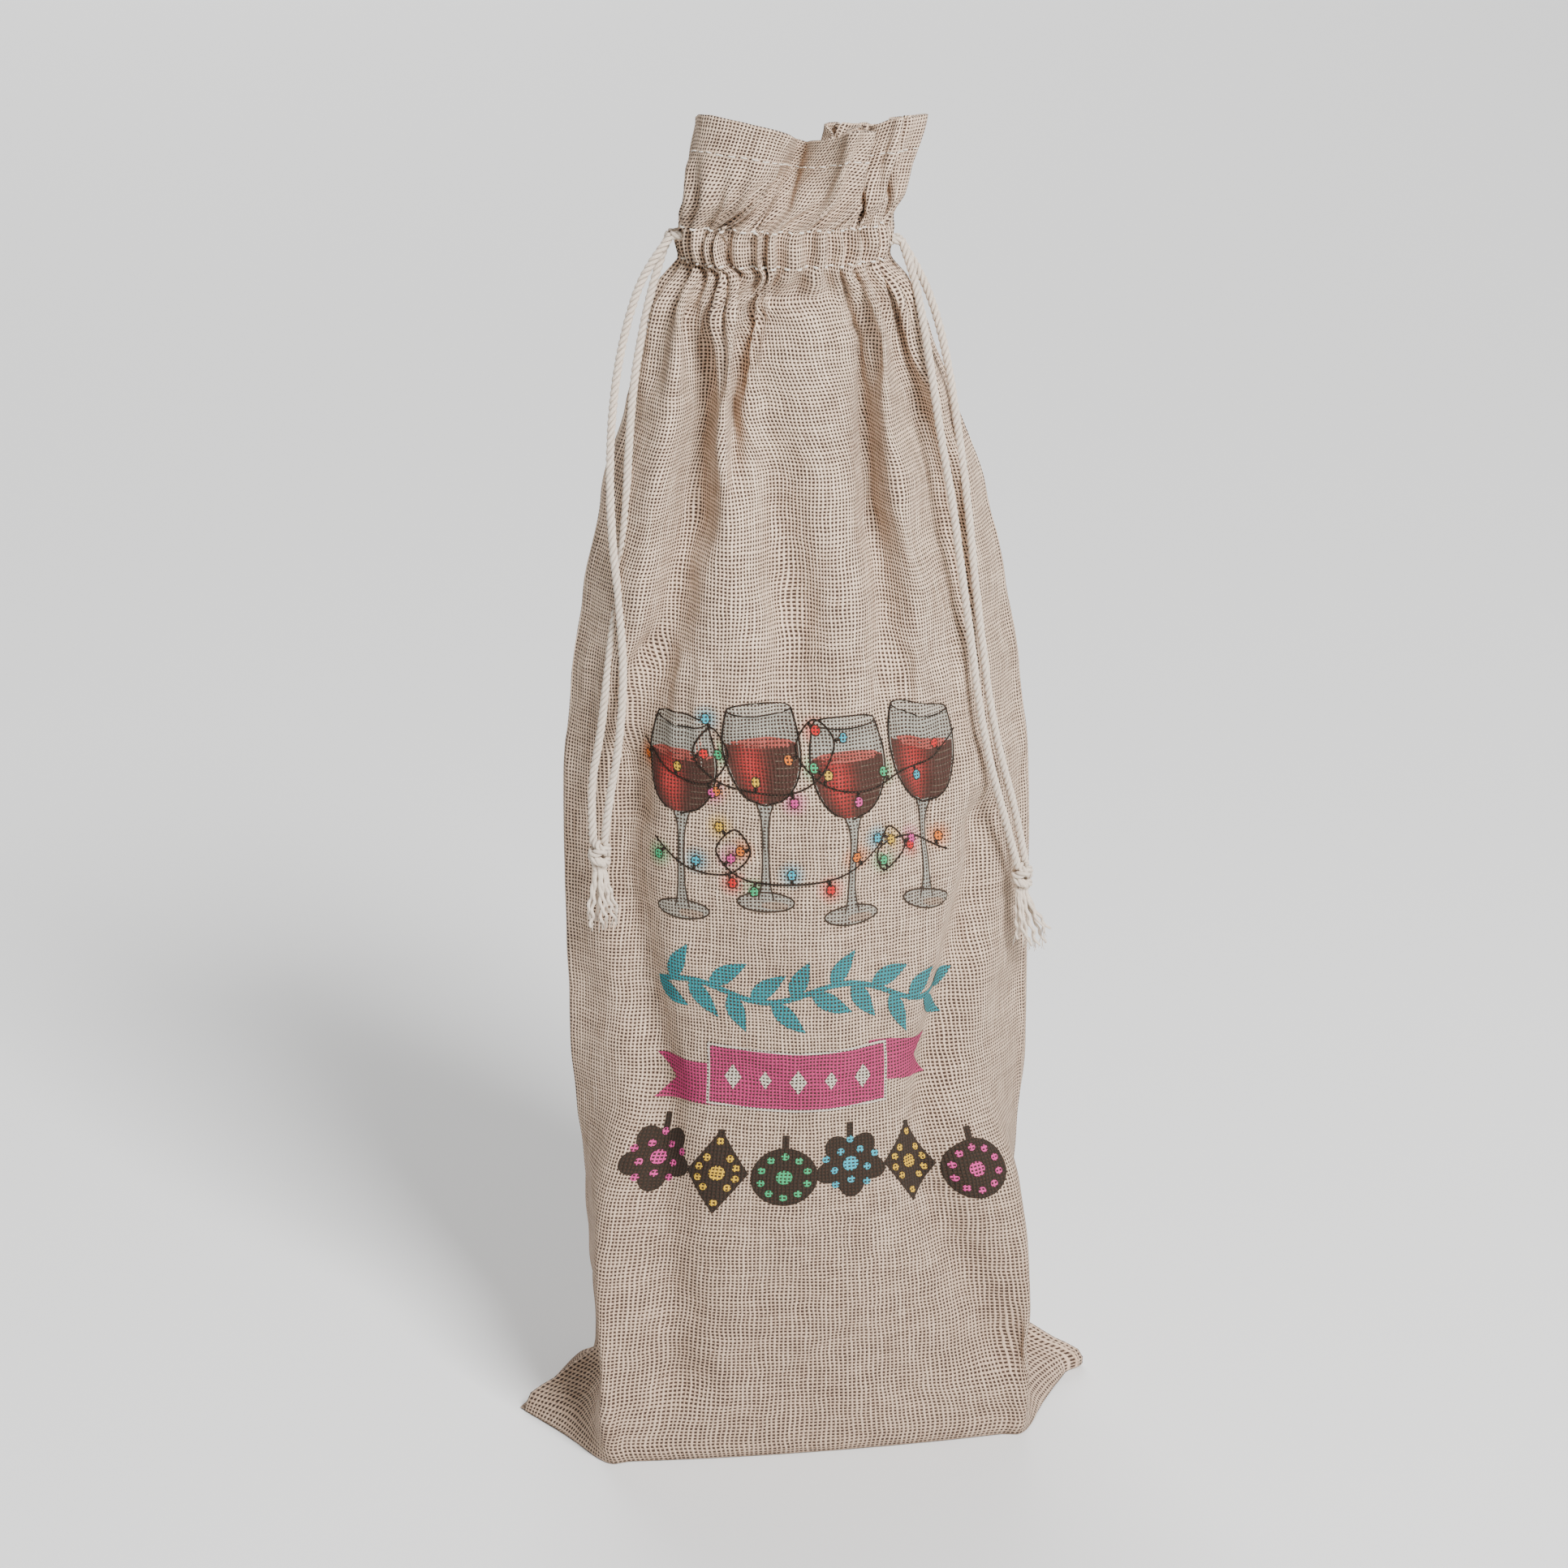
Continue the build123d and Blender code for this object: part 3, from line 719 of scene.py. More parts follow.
def thread_relief(graph, across, along, tones):
    """Return a plain weave's height, its relief for the light, and how much of it threads cover."""
    warp_index, weft_index, warp_tone, weft_tone = tones
    warp_gap = graph.size(graph.minus(graph.math("FRACT", across), 0.5))
    weft_gap = graph.size(graph.minus(graph.math("FRACT", along), 0.5))
    warp_half = graph.ramp(warp_tone, 0.25, 0.75, 0.23, 0.35)
    weft_half = graph.ramp(weft_tone, 0.25, 0.75, 0.25, 0.42)
    warp_round = graph.ramp(graph.over(warp_gap, warp_half), 0.35, 1.05, 1.0, 0.0)
    weft_round = graph.ramp(graph.over(weft_gap, weft_half), 0.35, 1.05, 1.0, 0.0)
    warp_wave = graph.math("SINE", graph.times(graph.plus(warp_index, along), math.pi))
    weft_wave = graph.math("SINE", graph.times(graph.plus(weft_index, across), math.pi))
    warp_height = graph.times(warp_round, graph.times_plus(graph.size(warp_wave), 0.25, 0.75))
    weft_height = graph.times(weft_round, graph.times_plus(graph.size(weft_wave), 0.6, 0.3))
    parity = graph.size(graph.math("MODULO", graph.plus(warp_index, weft_index), 2.0))
    warp_on_top = graph.times_plus(parity, 0.2, warp_height)
    weft_on_top = graph.times_plus(graph.minus(1.0, parity), 0.2, weft_height)
    warp_shown = graph.times(warp_on_top, graph.math("GREATER_THAN", warp_round, 0.02))
    weft_shown = graph.times(weft_on_top, graph.math("GREATER_THAN", weft_round, 0.02))
    height = graph.greater(warp_shown, weft_shown)
    covered = graph.ramp(graph.greater(warp_round, weft_round), 0.15, 0.85)
    relief = graph.greater(warp_shown, graph.times(weft_shown, 0.5))
    return height, relief, covered


def weave(graph):
    """Return a plain weave's colour, height and cover, laid out on the cloth's flat places."""
    flat_x, flat_y = graph.flat_place()
    across = graph.over(flat_x, WEAVE_PITCH * MM)
    along = graph.over(flat_y, WEAVE_PITCH * MM)
    plain = graph.combine(across, along)
    drift_across = graph.noise(plain, 0.11, 3.0)
    drift_along = graph.noise(graph.combine(along, across, 7.0), 0.11, 3.0)
    across = graph.times_plus(graph.minus(drift_across, 0.5), 1.5, across)
    along = graph.times_plus(graph.minus(drift_along, 0.5), 1.5, along)
    tones = thread_tones(graph, across, along)
    height, relief, covered = thread_relief(graph, across, along, tones)
    fibres = graph.noise(plain, 5.0, 4.0, 0.7)
    tone = graph.plus(graph.times(tones[2], 0.7), graph.times(tones[3], 0.3))
    tone = graph.times_plus(fibres, 0.5, graph.times(tone, 0.5))
    colour = graph.mix(graph.ramp(tone, 0.28, 0.72), DARK_THREAD, PALE_THREAD)
    patches = graph.ramp(graph.noise(plain, 0.035, 3.0), 0.35, 0.7)
    colour = graph.mix(graph.times(patches, 0.2), colour, PATCH)
    # Painted shade: the lower part of the bag is darker, as the light falls off toward the base
    colour = graph.mix(graph.ramp(flat_y, 0.33, 0.02, 0.0, 0.56), colour, BASE_SHADE)
    speck_place = graph.combine(across, graph.times(along, 0.6), 9.0)
    specks = graph.ramp(graph.noise(speck_place, 0.62, 2.0, 0.8), 0.735, 0.79)
    colour = graph.mix(graph.times(specks, 0.75), colour, SPECK)
    lit = graph.ramp(height, 0.1, 0.9, 0.25, 1.0)
    colour = graph.mix(graph.minus(1.0, lit), colour, THREAD_SHADE)
    return colour, graph.times_plus(fibres, 0.3, relief), covered


def cloth_material(name, printed):
    """Undyed woven cloth; the printed one reads its ink from the mesh."""
    material, tree, shader = nodes_of(name)
    graph = Graph(tree)
    colour, height, covered = weave(graph)
    if printed:
        ink_colour, strength = graph.ink()
        wear = graph.ramp(height, 0.1, 0.5, 0.97, 1.0)
        share = graph.times(strength, wear)
        colour = graph.mix(share, colour, graph.mix(0.012, ink_colour, colour))
    # Painted shade: the gaps between the threads and the threads' edges are darkened
    colour = graph.mix(graph.minus(1.0, covered), colour, SHADE_BETWEEN_THREADS)
    graph.finish(shader, colour, height, 1.0, 0.0003, {
        "Roughness": 0.92,
        "Specular IOR Level": 0.08 if printed else 0.2,
        "Sheen Weight": 0.03 if printed else 0.1,
        "Sheen Roughness": 0.5,
        "Sheen Tint": (0.95, 0.88, 0.8, 1),
    })
    return material


def yarn_material(name, light, dark):
    """Soft cotton yarn with fine fibres along it, with painted shade where the mesh says that plies meet, and
    darker tassel tips where the mesh marks them.
    """
    material, tree, shader = nodes_of(name)
    graph = Graph(tree)
    turn, place = graph.flat_place()
    angle = graph.times_plus(place, 0.9, turn)
    round_x, round_y = graph.math("SINE", angle), graph.math("COSINE", angle)
    stripes = graph.noise(graph.combine(round_x, round_y, graph.times(place, 0.25)), 5.0, 4.0, 0.65)
    colour = graph.mix(graph.ramp(stripes, 0.32, 0.68), dark, light)
    _, strength = graph.ink()
    # Painted shade in the grooves between plies, read from the mesh; the same colour darkens the tassel tips
    # that the mesh marks
    colour = graph.mix(graph.minus(1.0, strength), colour, PLY_SHADE_AND_DARK_TIPS)
    graph.finish(shader, colour, stripes, 0.6, 0.00012, {
        "Roughness": 0.85,
        "Specular IOR Level": 0.25,
        "Sheen Weight": 0.2,
        "Subsurface Weight": 0.08,
        "Subsurface Radius": (0.0008, 0.0006, 0.0005),
    })
    return material


woven = cloth_material("undyed_woven_cloth", False)
printed = cloth_material("printed_woven_cloth", True)
cotton = yarn_material("cotton_cord", (0.80, 0.70, 0.59, 1), (0.50, 0.40, 0.31, 1))
thread = yarn_material("sewing_thread", (0.88, 0.81, 0.72, 1), (0.68, 0.60, 0.50, 1))

# ---------------------------------------------------------------- the panels, hems, casing and seams
levels = row_levels()
front_guide = panel_guide(-1, levels)
back_guide = panel_guide(1, levels)
# Round the bag: the front from the left seam to the right one, then the back on to the left again
tube = np.concatenate([front_guide[:, :-1], back_guide[:, ::-1][:, :-1]], axis=1)
tube[:, 0] = 0.5 * (front_guide[:, 0] + back_guide[:, 0])
tube[:, COLUMNS] = 0.5 * (front_guide[:, -1] + back_guide[:, -1])
settled = relax(tube, levels)
fine_levels = np.interp(np.arange(2 * len(levels) - 1) / 2, np.arange(len(levels)), levels)


def distance_to(route, u, v):
    """Return how far each flat place is from a line drawn on the cloth."""
    nearest = np.full(np.shape(u), 1e9)
    line = through(route, 12)
    for (u0, v0), (u1, v1) in zip(line, line[1:]):
        du, dv = u1 - u0, v1 - v0
        share = np.clip(((u - u0) * du + (v - v0) * dv) / (du**2 + dv**2), 0, 1)
        nearest = np.minimum(nearest, np.hypot(u - u0 - share * du, v - v0 - share * dv))
    return nearest


def uneven(u, v, rng):
    """Return the slight unevenness of handled cloth: shallow waves of many sizes and directions."""
    height = np.zeros_like(u)
    for _ in range(40):
        wavelength = rng.uniform(9, 45)
        turn = rng.uniform(0, math.pi)
        phase = rng.uniform(0, 2 * math.pi)
        along = (u * math.cos(turn) + v * math.sin(turn)) * 2 * math.pi / wavelength
        height += 0.0026 * wavelength * np.sin(along + phase)
    return height


# Soft creases of the front, on the flat cloth: the line, its half width and its depth
CREASES = [
    ([(-55, 225), (-54, 205), (-53, 189), (-47, 156), (-39, 115), (-34, 87), (-31, 60)], 7.0, 6.2),
    ([(52, 205), (50, 189), (41, 162), (31, 128), (29, 110), (34, 87), (41, 62)], 7.0, 6.2),
    ([(-46, 254), (-49, 243), (-51, 230), (-50, 214)], 5.0, 3.2),
    ([(26, 252), (27, 238), (29, 224), (33, 206)], 4.5, 1.6),
    ([(-8, 272), (-6, 255), (-10, 240), (-18, 228)], 6.0, 1.8),
    ([(8, 366), (6, 372), (4, 379)], 1.8, 1.2),
]


def make_cloth(side):
    """Return one settled panel, with its cord slits opened at both side seams."""
    closed = np.concatenate([settled, settled[:, :1]], axis=1)
    points = refine(closed[:, : COLUMNS + 1] if side < 0 else closed[:, COLUMNS:])
    middle = (LOWER_ROW + UPPER_ROW) / 2 - 0.3
    open_rows = np.clip(1 - ((points[:, :, 2] - middle) / 4.2) ** 2, 0, 1)
    from_seam = np.minimum(np.arange(points.shape[1]), np.arange(points.shape[1])[::-1]) / 5.0
    points[:, :, 1] += side * 2.6 * open_rows * np.exp(-(from_seam**2))[None, :]
    cloth = Cloth(points, fine_levels)
    u, v = flat_uv[:, :, 0], flat_uv[:, :, 1]
    depth = uneven(u, v, np.random.default_rng(40 + side))
    for route, width, press in CREASES:
        depth += press * np.exp(-((distance_to(route, u * -side, v) / width) ** 2))
    rest = smooth(0.5, 12, points[:, :, 2]) * np.clip(from_seam * 1.6, 0, 1)[None, :]
    # The side seam lies in a groove between two low ridges
    groove = 0.7 * np.exp(-((from_seam / 0.22) ** 2))
    ridge = 0.35 * np.exp(-(((from_seam - 0.55) / 0.25) ** 2))
    depth += groove[None, :] - ridge[None, :]
    return Cloth(points - cloth.normals * (depth * rest)[:, :, None], fine_levels)


flat_across = np.linspace(-PANEL_WIDTH / 2, PANEL_WIDTH / 2, 2 * COLUMNS + 1)
flat_uv = np.stack(np.meshgrid(flat_across, fine_levels), axis=-1)
front = make_cloth(-1)
back = make_cloth(1)


def cloth_piece(name, grid, flat_places):
    """Build one piece of woven cloth from a grid of points and their flat places."""
    piece = Parts()
    piece.add(grid, uv=flat_places * MM)
    return piece.build(name, woven, slot="cloth")


def make_panel(name, cloth, node, hem_node, strip_node):
    """Build a panel with its turned-in hem and its half of the casing's inner strip."""
    panel = cloth_piece("cloth_" + name, cloth.points, flat_uv)
    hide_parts(node)

    across = flat_uv[0, :, 0]
    depths = np.array([0.0, 0.25, 1.2, 4.0, 7.0, 9.0, HEM_FOLD])
    insets = np.array([0.0, 0.65, 0.95, 0.9, 0.9, 0.85, 0.8])
    hem_u, hem_v = np.meshgrid(across, PANEL_LENGTH - depths)
    grid = cloth.place(hem_u, hem_v, -insets[:, None] * np.ones_like(hem_u))
    grid[1, :, 2] += 0.3
    hem_uv = np.stack([hem_u, 2 * PANEL_LENGTH - hem_v], axis=-1)
    hem = cloth_piece("hem_" + name, grid[::-1], hem_uv[::-1])
    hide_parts(hem_node)

    low, high = LOWER_LEVEL - 1.4, UPPER_LEVEL + 1.4
    heights = np.linspace(low, high, 13)
    bulge = np.clip(1 - ((heights - (low + high) / 2) / (UPPER_LEVEL - LOWER_LEVEL) * 2) ** 2, 0, 1)
    strip_u, strip_v = np.meshgrid(across[4:-4], heights)
    grid = cloth.place(strip_u, strip_v, -0.8 * np.ones_like(strip_u))
    centre = np.array([CASING_CENTRE, 0.0])
    grid[:, :, :2] += (centre - grid[:, :, :2]) * (0.17 * bulge)[:, None, None]
    strip_uv = np.stack([strip_u, strip_v], axis=-1)
    strip = cloth_piece("casing_" + name, grid[:, ::-1], strip_uv[:, ::-1])
    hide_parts(strip_node)


make_panel("front", front, "front_panel", "front_top_hem", "front_casing_strip")
make_panel("back", back, "back_panel", "back_top_hem", "back_casing_strip")


def make_stitches(name, level, pitch, length, radius, rng):
    """Sew a row of short stitches through both panels, each dipping into the cloth at its ends."""
    row = Parts()
    for cloth in (front, back):
        count = int((PANEL_WIDTH - 6) / pitch)
        for i in range(count):
            middle = (i - (count - 1) / 2) * pitch + rng.uniform(-0.15, 0.15)
            share = np.linspace(-1, 1, 7)
            u = middle + share * length / 2
            lift = radius * (1.0 - 1.9 * share**4)
            v = level + rng.uniform(-0.15, 0.15) + share * rng.uniform(-0.12, 0.12)
            points = cloth.place(u, v, lift)
            add_tube(row, points, radius * (1 - 0.35 * share**4), first_normal=(0, 0, 1), sides=7)
    piece = row.build("thread_" + name, thread, slot="thread")
    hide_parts(name)


rng = np.random.default_rng(5)
make_stitches("casing_lower_stitching", LOWER_LEVEL, 3.6, 1.6, 0.27, rng)
make_stitches("casing_upper_stitching", UPPER_LEVEL, 3.6, 1.6, 0.27, rng)
make_stitches("top_hem_stitching", HEM_LEVEL, 3.0, 2.0, 0.17, rng)


def make_bar_tacks(name, end):
    """Bind a cord slit's two ends with three short threads each."""
    column = 0 if end < 0 else -1
    tacks = Parts()
    for level in (LOWER_LEVEL + 0.2, UPPER_LEVEL + 0.2):
        row = int(np.searchsorted(fine_levels, level))
        centre = 0.5 * (front.points[row, column] + back.points[row, -1 - column if end < 0 else 0])
        for rise in (-0.5, 0.0, 0.5):
            share = np.linspace(-1, 1, 9)
            x = centre[0] + end * (0.45 - 1.5 * share**2)
            points = np.column_stack([x, centre[1] + share * 2.2, centre[2] + rise + 0.15 * share])
            add_tube(tacks, points, 0.26 * (1 - 0.3 * share**4), first_normal=(0, 0, 1), sides=7)
    piece = tacks.build("thread_" + name, thread, slot="thread")
    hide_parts(name)


make_bar_tacks("left_slit_bar_tacks", -1)
make_bar_tacks("right_slit_bar_tacks", 1)


def make_seam_allowance(name, end):
    """Hang the two turned-in edges inside one side seam."""
    column = 0 if end < 0 else -1
    rows = np.where((fine_levels > level_of(24)) & (fine_levels < LOWER_LEVEL - 1))[0]
    spine = front.points[rows, column]
    layers = Parts()
    for layer, gap in ((0, -0.45), (1, 0.45)):
        reach = np.linspace(0.6, 6.5, 6)
        wave = 0.5 * np.sin(spine[:, 2] / 9.0 + layer) * np.clip((spine[:, 2] - 180) / 60, 0.2, 1)
        grid = np.repeat(spine[:, None], 6, axis=1)
        grid[:, :, 0] -= end * reach[None]
        grid[:, :, 1] += gap * (0.4 + reach / 5)[None] + (wave[:, None] * (reach / 6)[None])
        uv = np.stack(np.meshgrid(reach, fine_levels[rows]), axis=-1) * MM
        layers.add(grid, uv=uv)
    piece = layers.build("edges_" + name, woven, slot="cloth")
    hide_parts(name)


make_seam_allowance("left_seam_allowance", -1)
make_seam_allowance("right_seam_allowance", 1)


def make_base_seam_allowance():
    """Stand the two turned-in edges of the base seam inside the bag."""
    x = np.linspace(-50, 57, 80)
    layers = Parts()
    for gap in (-0.4, 0.4):
        rise = np.linspace(0.3, 6.0, 6)
        grid = np.empty((6, len(x), 3))
        grid[:, :, 0] = x
        grid[:, :, 1] = (gap * (1 + rise / 5))[:, None] + 0.5 * np.sin(x / 7)[None] * (rise / 6)[:, None]
        grid[:, :, 2] = rise[:, None] + 0.5
        layers.add(grid, uv=np.stack(np.meshgrid(x, rise), axis=-1) * MM)
    piece = layers.build("edges_base_seam_allowance", woven, slot="cloth")
    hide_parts("base_seam_allowance")


make_base_seam_allowance()

# ---------------------------------------------------------------- the print, drawn on the flat front panel
BLACK = (0.008, 0.007, 0.006)
GLASS = (0.19, 0.235, 0.22)
TEAL = (0.022, 0.225, 0.255)
MAGENTA = (0.42, 0.022, 0.13)
PALE = (0.62, 0.56, 0.47)
WINE_DARK = (0.030, 0.003, 0.005)
WINE_LIGHT = (0.42, 0.008, 0.016)
WINE_LEVEL = 0.64
# How far the ink stands off the cloth, and each layer of it off the one below, in millimetres
INK_LIFT = 0.08
LAYER_LIFT = 0.035
BULBS = [(0.72, 0.17, 0.02), (0.70, 0.42, 0.03), (0.65, 0.05, 0.27), (0.03, 0.42, 0.17), (0.03, 0.40, 0.52),
         (0.66, 0.015, 0.02)]


class Print:
    """Flat shapes of ink that lie on the cloth, all in one mesh that carries its colours."""

    def __init__(self, cloth):
        self.cloth = cloth
        self.parts = Parts()

    def lay(self, u, v, colour, alpha=1.0, layer=1):
        """Lay a grid of flat places on the cloth in one colour, or in one colour to each point."""
        colours = np.empty(u.shape + (4,))
        colours[..., :3] = colour
        colours[..., 3] = alpha
        # The print slopes down a little toward the right, as it does in the photograph
        sloped = v - 4.5 * smooth(14, 38, u)
        points = self.cloth.place(u, sloped, np.full(u.shape, INK_LIFT + LAYER_LIFT * layer))
        self.parts.add(points, uv=np.stack([u, sloped], axis=-1) * MM, colour=colours)

    def stroke(self, points, width, colour, alpha=1.0, layer=3, lanes=3):
        """Draw a line whose width may change along it."""
        points = np.asarray(points, float)
        steps = np.gradient(points, axis=0)
        steps /= np.linalg.norm(steps, axis=1)[:, None] + 1e-9
        across = np.linspace(0.5, -0.5, lanes)[None, :] * np.broadcast_to(width, len(points))[:, None]
        u = points[:, :1] - steps[:, 1:] * across
        v = points[:, 1:] + steps[:, :1] * across
        self.lay(u[:, ::-1], v[:, ::-1], colour, alpha, layer)

    def shape(self, u, v, outline, colour, alpha=1.0, layer=2, rings=4, fade=False):
        """Fill a shape that is seen whole from its middle: outline gives its reach at each turn."""
        turns = np.linspace(0, 2 * math.pi, 49)
        ring = np.linspace(0.0, 1.0, rings + 1)[:, None]
        reach = ring * outline(turns)[None]
        alphas = alpha * ((1 - ring) ** 1.1 if fade else 1.0) * np.ones_like(reach)
        place_u, place_v = u + reach * np.cos(turns)[::-1], v + reach * np.sin(turns)[::-1]
        self.lay(place_u, place_v, colour, alphas[:, ::-1], layer)

    def oval(self, u, v, wide, tall, colour, alpha=1.0, layer=2, fade=False, rings=4):
        """Fill an oval, given half its width and half its height."""

        def reach(turns):
            return wide * tall / np.hypot(tall * np.cos(turns), wide * np.sin(turns))

        self.shape(u, v, reach, colour, alpha, layer, rings, fade)

    def lathe(self, u, v, half_widths, colours, alpha, layer, lanes):
        """Fill a shape between two mirrored sides, with half widths and colours given row by row."""
        share = np.linspace(-1, 1, lanes)
        grid_u = u + half_widths[:, None] * share[None]
        self.lay(grid_u, np.repeat(v[:, None], lanes, axis=1), colours, alpha, layer)


def bowl_profile(share, half_width):
    """Return a wine glass bowl's half width, from its foot (0) to its rim (1)."""
    low = np.sqrt(np.clip(1 - (1 - share / 0.58) ** 2, 0, 1))
    high = 1 - 0.16 * np.clip((share - 0.58) / 0.42, 0, 1) ** 1.8
    return half_width * np.where(share < 0.58, low, high)


def draw_bowl(ink, u, neck, rim, half_width, layer):
    """Draw a bowl's tinted glass, its wine with a glow on the left and its lines; return its sides."""
    rise = rim - neck
    share = np.linspace(0.0, 1.0, 20)
    lanes = 17
    across = np.linspace(-1, 1, lanes)
    edge = np.abs(across)[None, :, None] ** 3
    glass = np.array(GLASS) * (1.15 - 0.35 * edge) * np.ones((20, 1, 1))
    rows = neck + share * rise
    wide = bowl_profile(share, half_width)
    ink.lathe(u, rows, wide, glass, 0.72, layer, lanes)
    fill = np.linspace(0.02, WINE_LEVEL, 16)
    glow = np.exp(-(((across + 0.35) / 0.34) ** 2))[None, :, None]
    glow = glow * (0.35 + 0.65 * np.sin(fill * 4.2) ** 2)[:, None, None]
    wine = np.array(WINE_DARK) * (1 - glow) + np.array(WINE_LIGHT) * glow
    ink.lathe(u, neck + fill * rise, bowl_profile(fill, half_width) * 0.95, wine, 0.95, layer + 1, lanes)
    surface = tuple(0.75 * c for c in WINE_LIGHT)
    ink.oval(u, neck + WINE_LEVEL * rise, half_width * 0.93, 1.5, surface, 0.85, layer + 1.3)
    for i in range(7):
        place = 0.14 + 0.07 * i
        reach = bowl_profile(place, half_width) * 0.93
        sweep = np.linspace(0.35, 1.0, 8)
        line_v = neck + place * rise - 0.9 * np.sqrt(1 - (sweep * 0.98) ** 2)
        ink.stroke(np.column_stack([u + reach * sweep, line_v]), 0.24, BLACK, 0.85, layer + 1.6, 2)
    return rows, wide


def draw_glass(ink, u, foot, neck, rim, half_width, layer):
    """Draw one plain wine glass, half full."""
    rows, wide = draw_bowl(ink, u, neck, rim, half_width, layer)
    turns = np.linspace(0, 2 * math.pi, 40)
    lip = np.column_stack([u + wide[-1] * np.cos(turns), rim + 1.7 * np.sin(turns)])
    ink.oval(u, rim, wide[-1], 1.7, tuple(1.25 * c for c in GLASS), 0.55, layer + 1.4)
    ink.stroke(lip, 0.42, BLACK, 1.0, layer + 2, 2)
    for end in (-1, 1):
        ink.stroke(np.column_stack([u + end * wide, rows]), 0.5, BLACK, 1.0, layer + 2, 2)
    stem = np.linspace(0, 1, 14)
    stem_width = 1.5 + 2.6 * (1 - stem) ** 6 + 3.0 * stem**9
    stem_line = np.column_stack([np.full(14, u), foot + 0.5 + stem * (neck - foot)])
    foot_line = np.column_stack([u + 7.4 * np.cos(turns), foot + 2.6 * np.sin(turns)])
    ink.oval(u, foot, 7.4, 2.6, GLASS, 0.66, layer)
    ink.oval(u + 2.4, foot - 0.9, 3.6, 1.1, BLACK, 0.45, layer + 0.5)
    ink.stroke(foot_line, 0.45, BLACK, 0.95, layer + 1, 2)
    ink.stroke(stem_line, stem_width, GLASS, 0.75, layer + 1, 4)
    for end in (-1, 1):
        side_line = stem_line + np.column_stack([end * stem_width / 2, np.zeros(14)])
        ink.stroke(side_line, 0.4, BLACK, 0.95, layer + 2, 2)


def draw_bulb(ink, place, hang, colour):
    """Draw one glowing bulb on its socket, hung from the wire in a direction."""
    u, v = place + 2.6 * hang
    ink.oval(u, v, 4.4, 4.4, colour, 1.0, 0.4, fade=True, rings=8)
    ink.stroke([place, place + 0.6 * hang, place + 1.3 * hang], 0.85, BLACK, 1.0, 8)
    ink.oval(u, v, 1.32, 1.5, BLACK, 0.95, 7)
    ink.oval(u, v, 1.02, 1.2, colour, 1.0, 8.5)


def draw_garland(ink, route, first_colour):
    """Draw a wire along smooth control points, with a bulb hanging every few millimetres."""
    wire = through(route, 14)
    ink.stroke(wire, 0.5, BLACK, 1.0, 6.5, 2)
    lengths = path_length(wire)
    for i, place in enumerate(np.arange(4.0, lengths[-1], 9.5)):
        here = np.array([np.interp(place, lengths, wire[:, k]) for k in (0, 1)])
        ahead = np.array([np.interp(place + 0.5, lengths, wire[:, k]) for k in (0, 1)])
        step = (ahead - here) / (np.linalg.norm(ahead - here) + 1e-9)
        hang = np.array([-step[1], step[0]]) * (1 if i % 2 else -1)
        draw_bulb(ink, here, hang, BULBS[(i + first_colour) % len(BULBS)])


def draw_vine(ink, left, right, level, rng):
    """Draw a teal vine: a gently waving stem with leaves on alternate sides and one at its tip."""
    t = np.linspace(0, 1, 120)
    stem = np.column_stack([left + (right - left) * t, level + 2.4 * np.sin(t * 4 * math.pi)])
    ink.stroke(stem, 1.5, TEAL, 1.0, 2, 4)
    share = np.linspace(0, 1, 12)
    leaves = 15
    for i in range(leaves + 1):
        k = int(i / leaves * 118)
        step = (stem[k + 1] - stem[k]) / np.linalg.norm(stem[k + 1] - stem[k])
        side = 0.85 if i % 2 else -0.85
        lean = step if i == leaves else step * 0.6 + np.array([-step[1], step[0]]) * side
        length = rng.uniform(9.5, 11.5) if i < leaves else 7.0
        leaf = stem[k] + share[:, None] * length * lean + (share**2)[:, None] * step * 1.5
        ink.stroke(leaf, 4.6 * np.sin(math.pi * share**0.8) + 0.15, TEAL, 1.0, 2.5 + 0.1 * i, 5)


def lozenge(size):
    """Return the outline of a lozenge that is taller than it is wide."""
    return lambda turns: size / (np.abs(np.cos(turns)) * 1.5 + np.abs(np.sin(turns)))


def draw_ribbon(ink, middle_u, level):
    """Draw a blank magenta ribbon with two folded, notched tails and a row of small lozenges."""
    for end in (-1, 1):
        rows = np.linspace(-5.6, 5.6, 9)
        inner = middle_u + end * 19.0
        outer = middle_u + end * (41.0 - 6.5 * (1 - np.abs(rows) / 5.6))
        share = np.linspace(0, 1, 12)
        u = inner + (outer - inner)[:, None] * share[None]
        v = level + end * 3.2 + rows[:, None] + 0.8 * end * share[None] ** 2
        if end < 0:
            u, v = u[:, ::-1], v[:, ::-1]
        ink.lay(u, v, MAGENTA, 0.96, 2)

    def sagging(u):
        return level - (1 - ((u - middle_u) / 24) ** 2)

    bands = ((24.2, 8.4, PALE, 0.9, 3), (23.4, 7.7, MAGENTA, 0.96, 4))
    for half_wide, half_tall, colour, alpha, layer in bands:
        across = middle_u + np.linspace(-half_wide, half_wide, 26)
        u, v = np.meshgrid(across, np.linspace(-half_tall, half_tall, 10))
        ink.lay(u, sagging(u) + v, colour, alpha, layer)
    for i in range(5):
        place = middle_u + (i - 2) * 8.6
        ink.shape(place, sagging(place), lozenge(3.4 if i % 2 == 0 else 2.5), PALE, 0.95, 5)


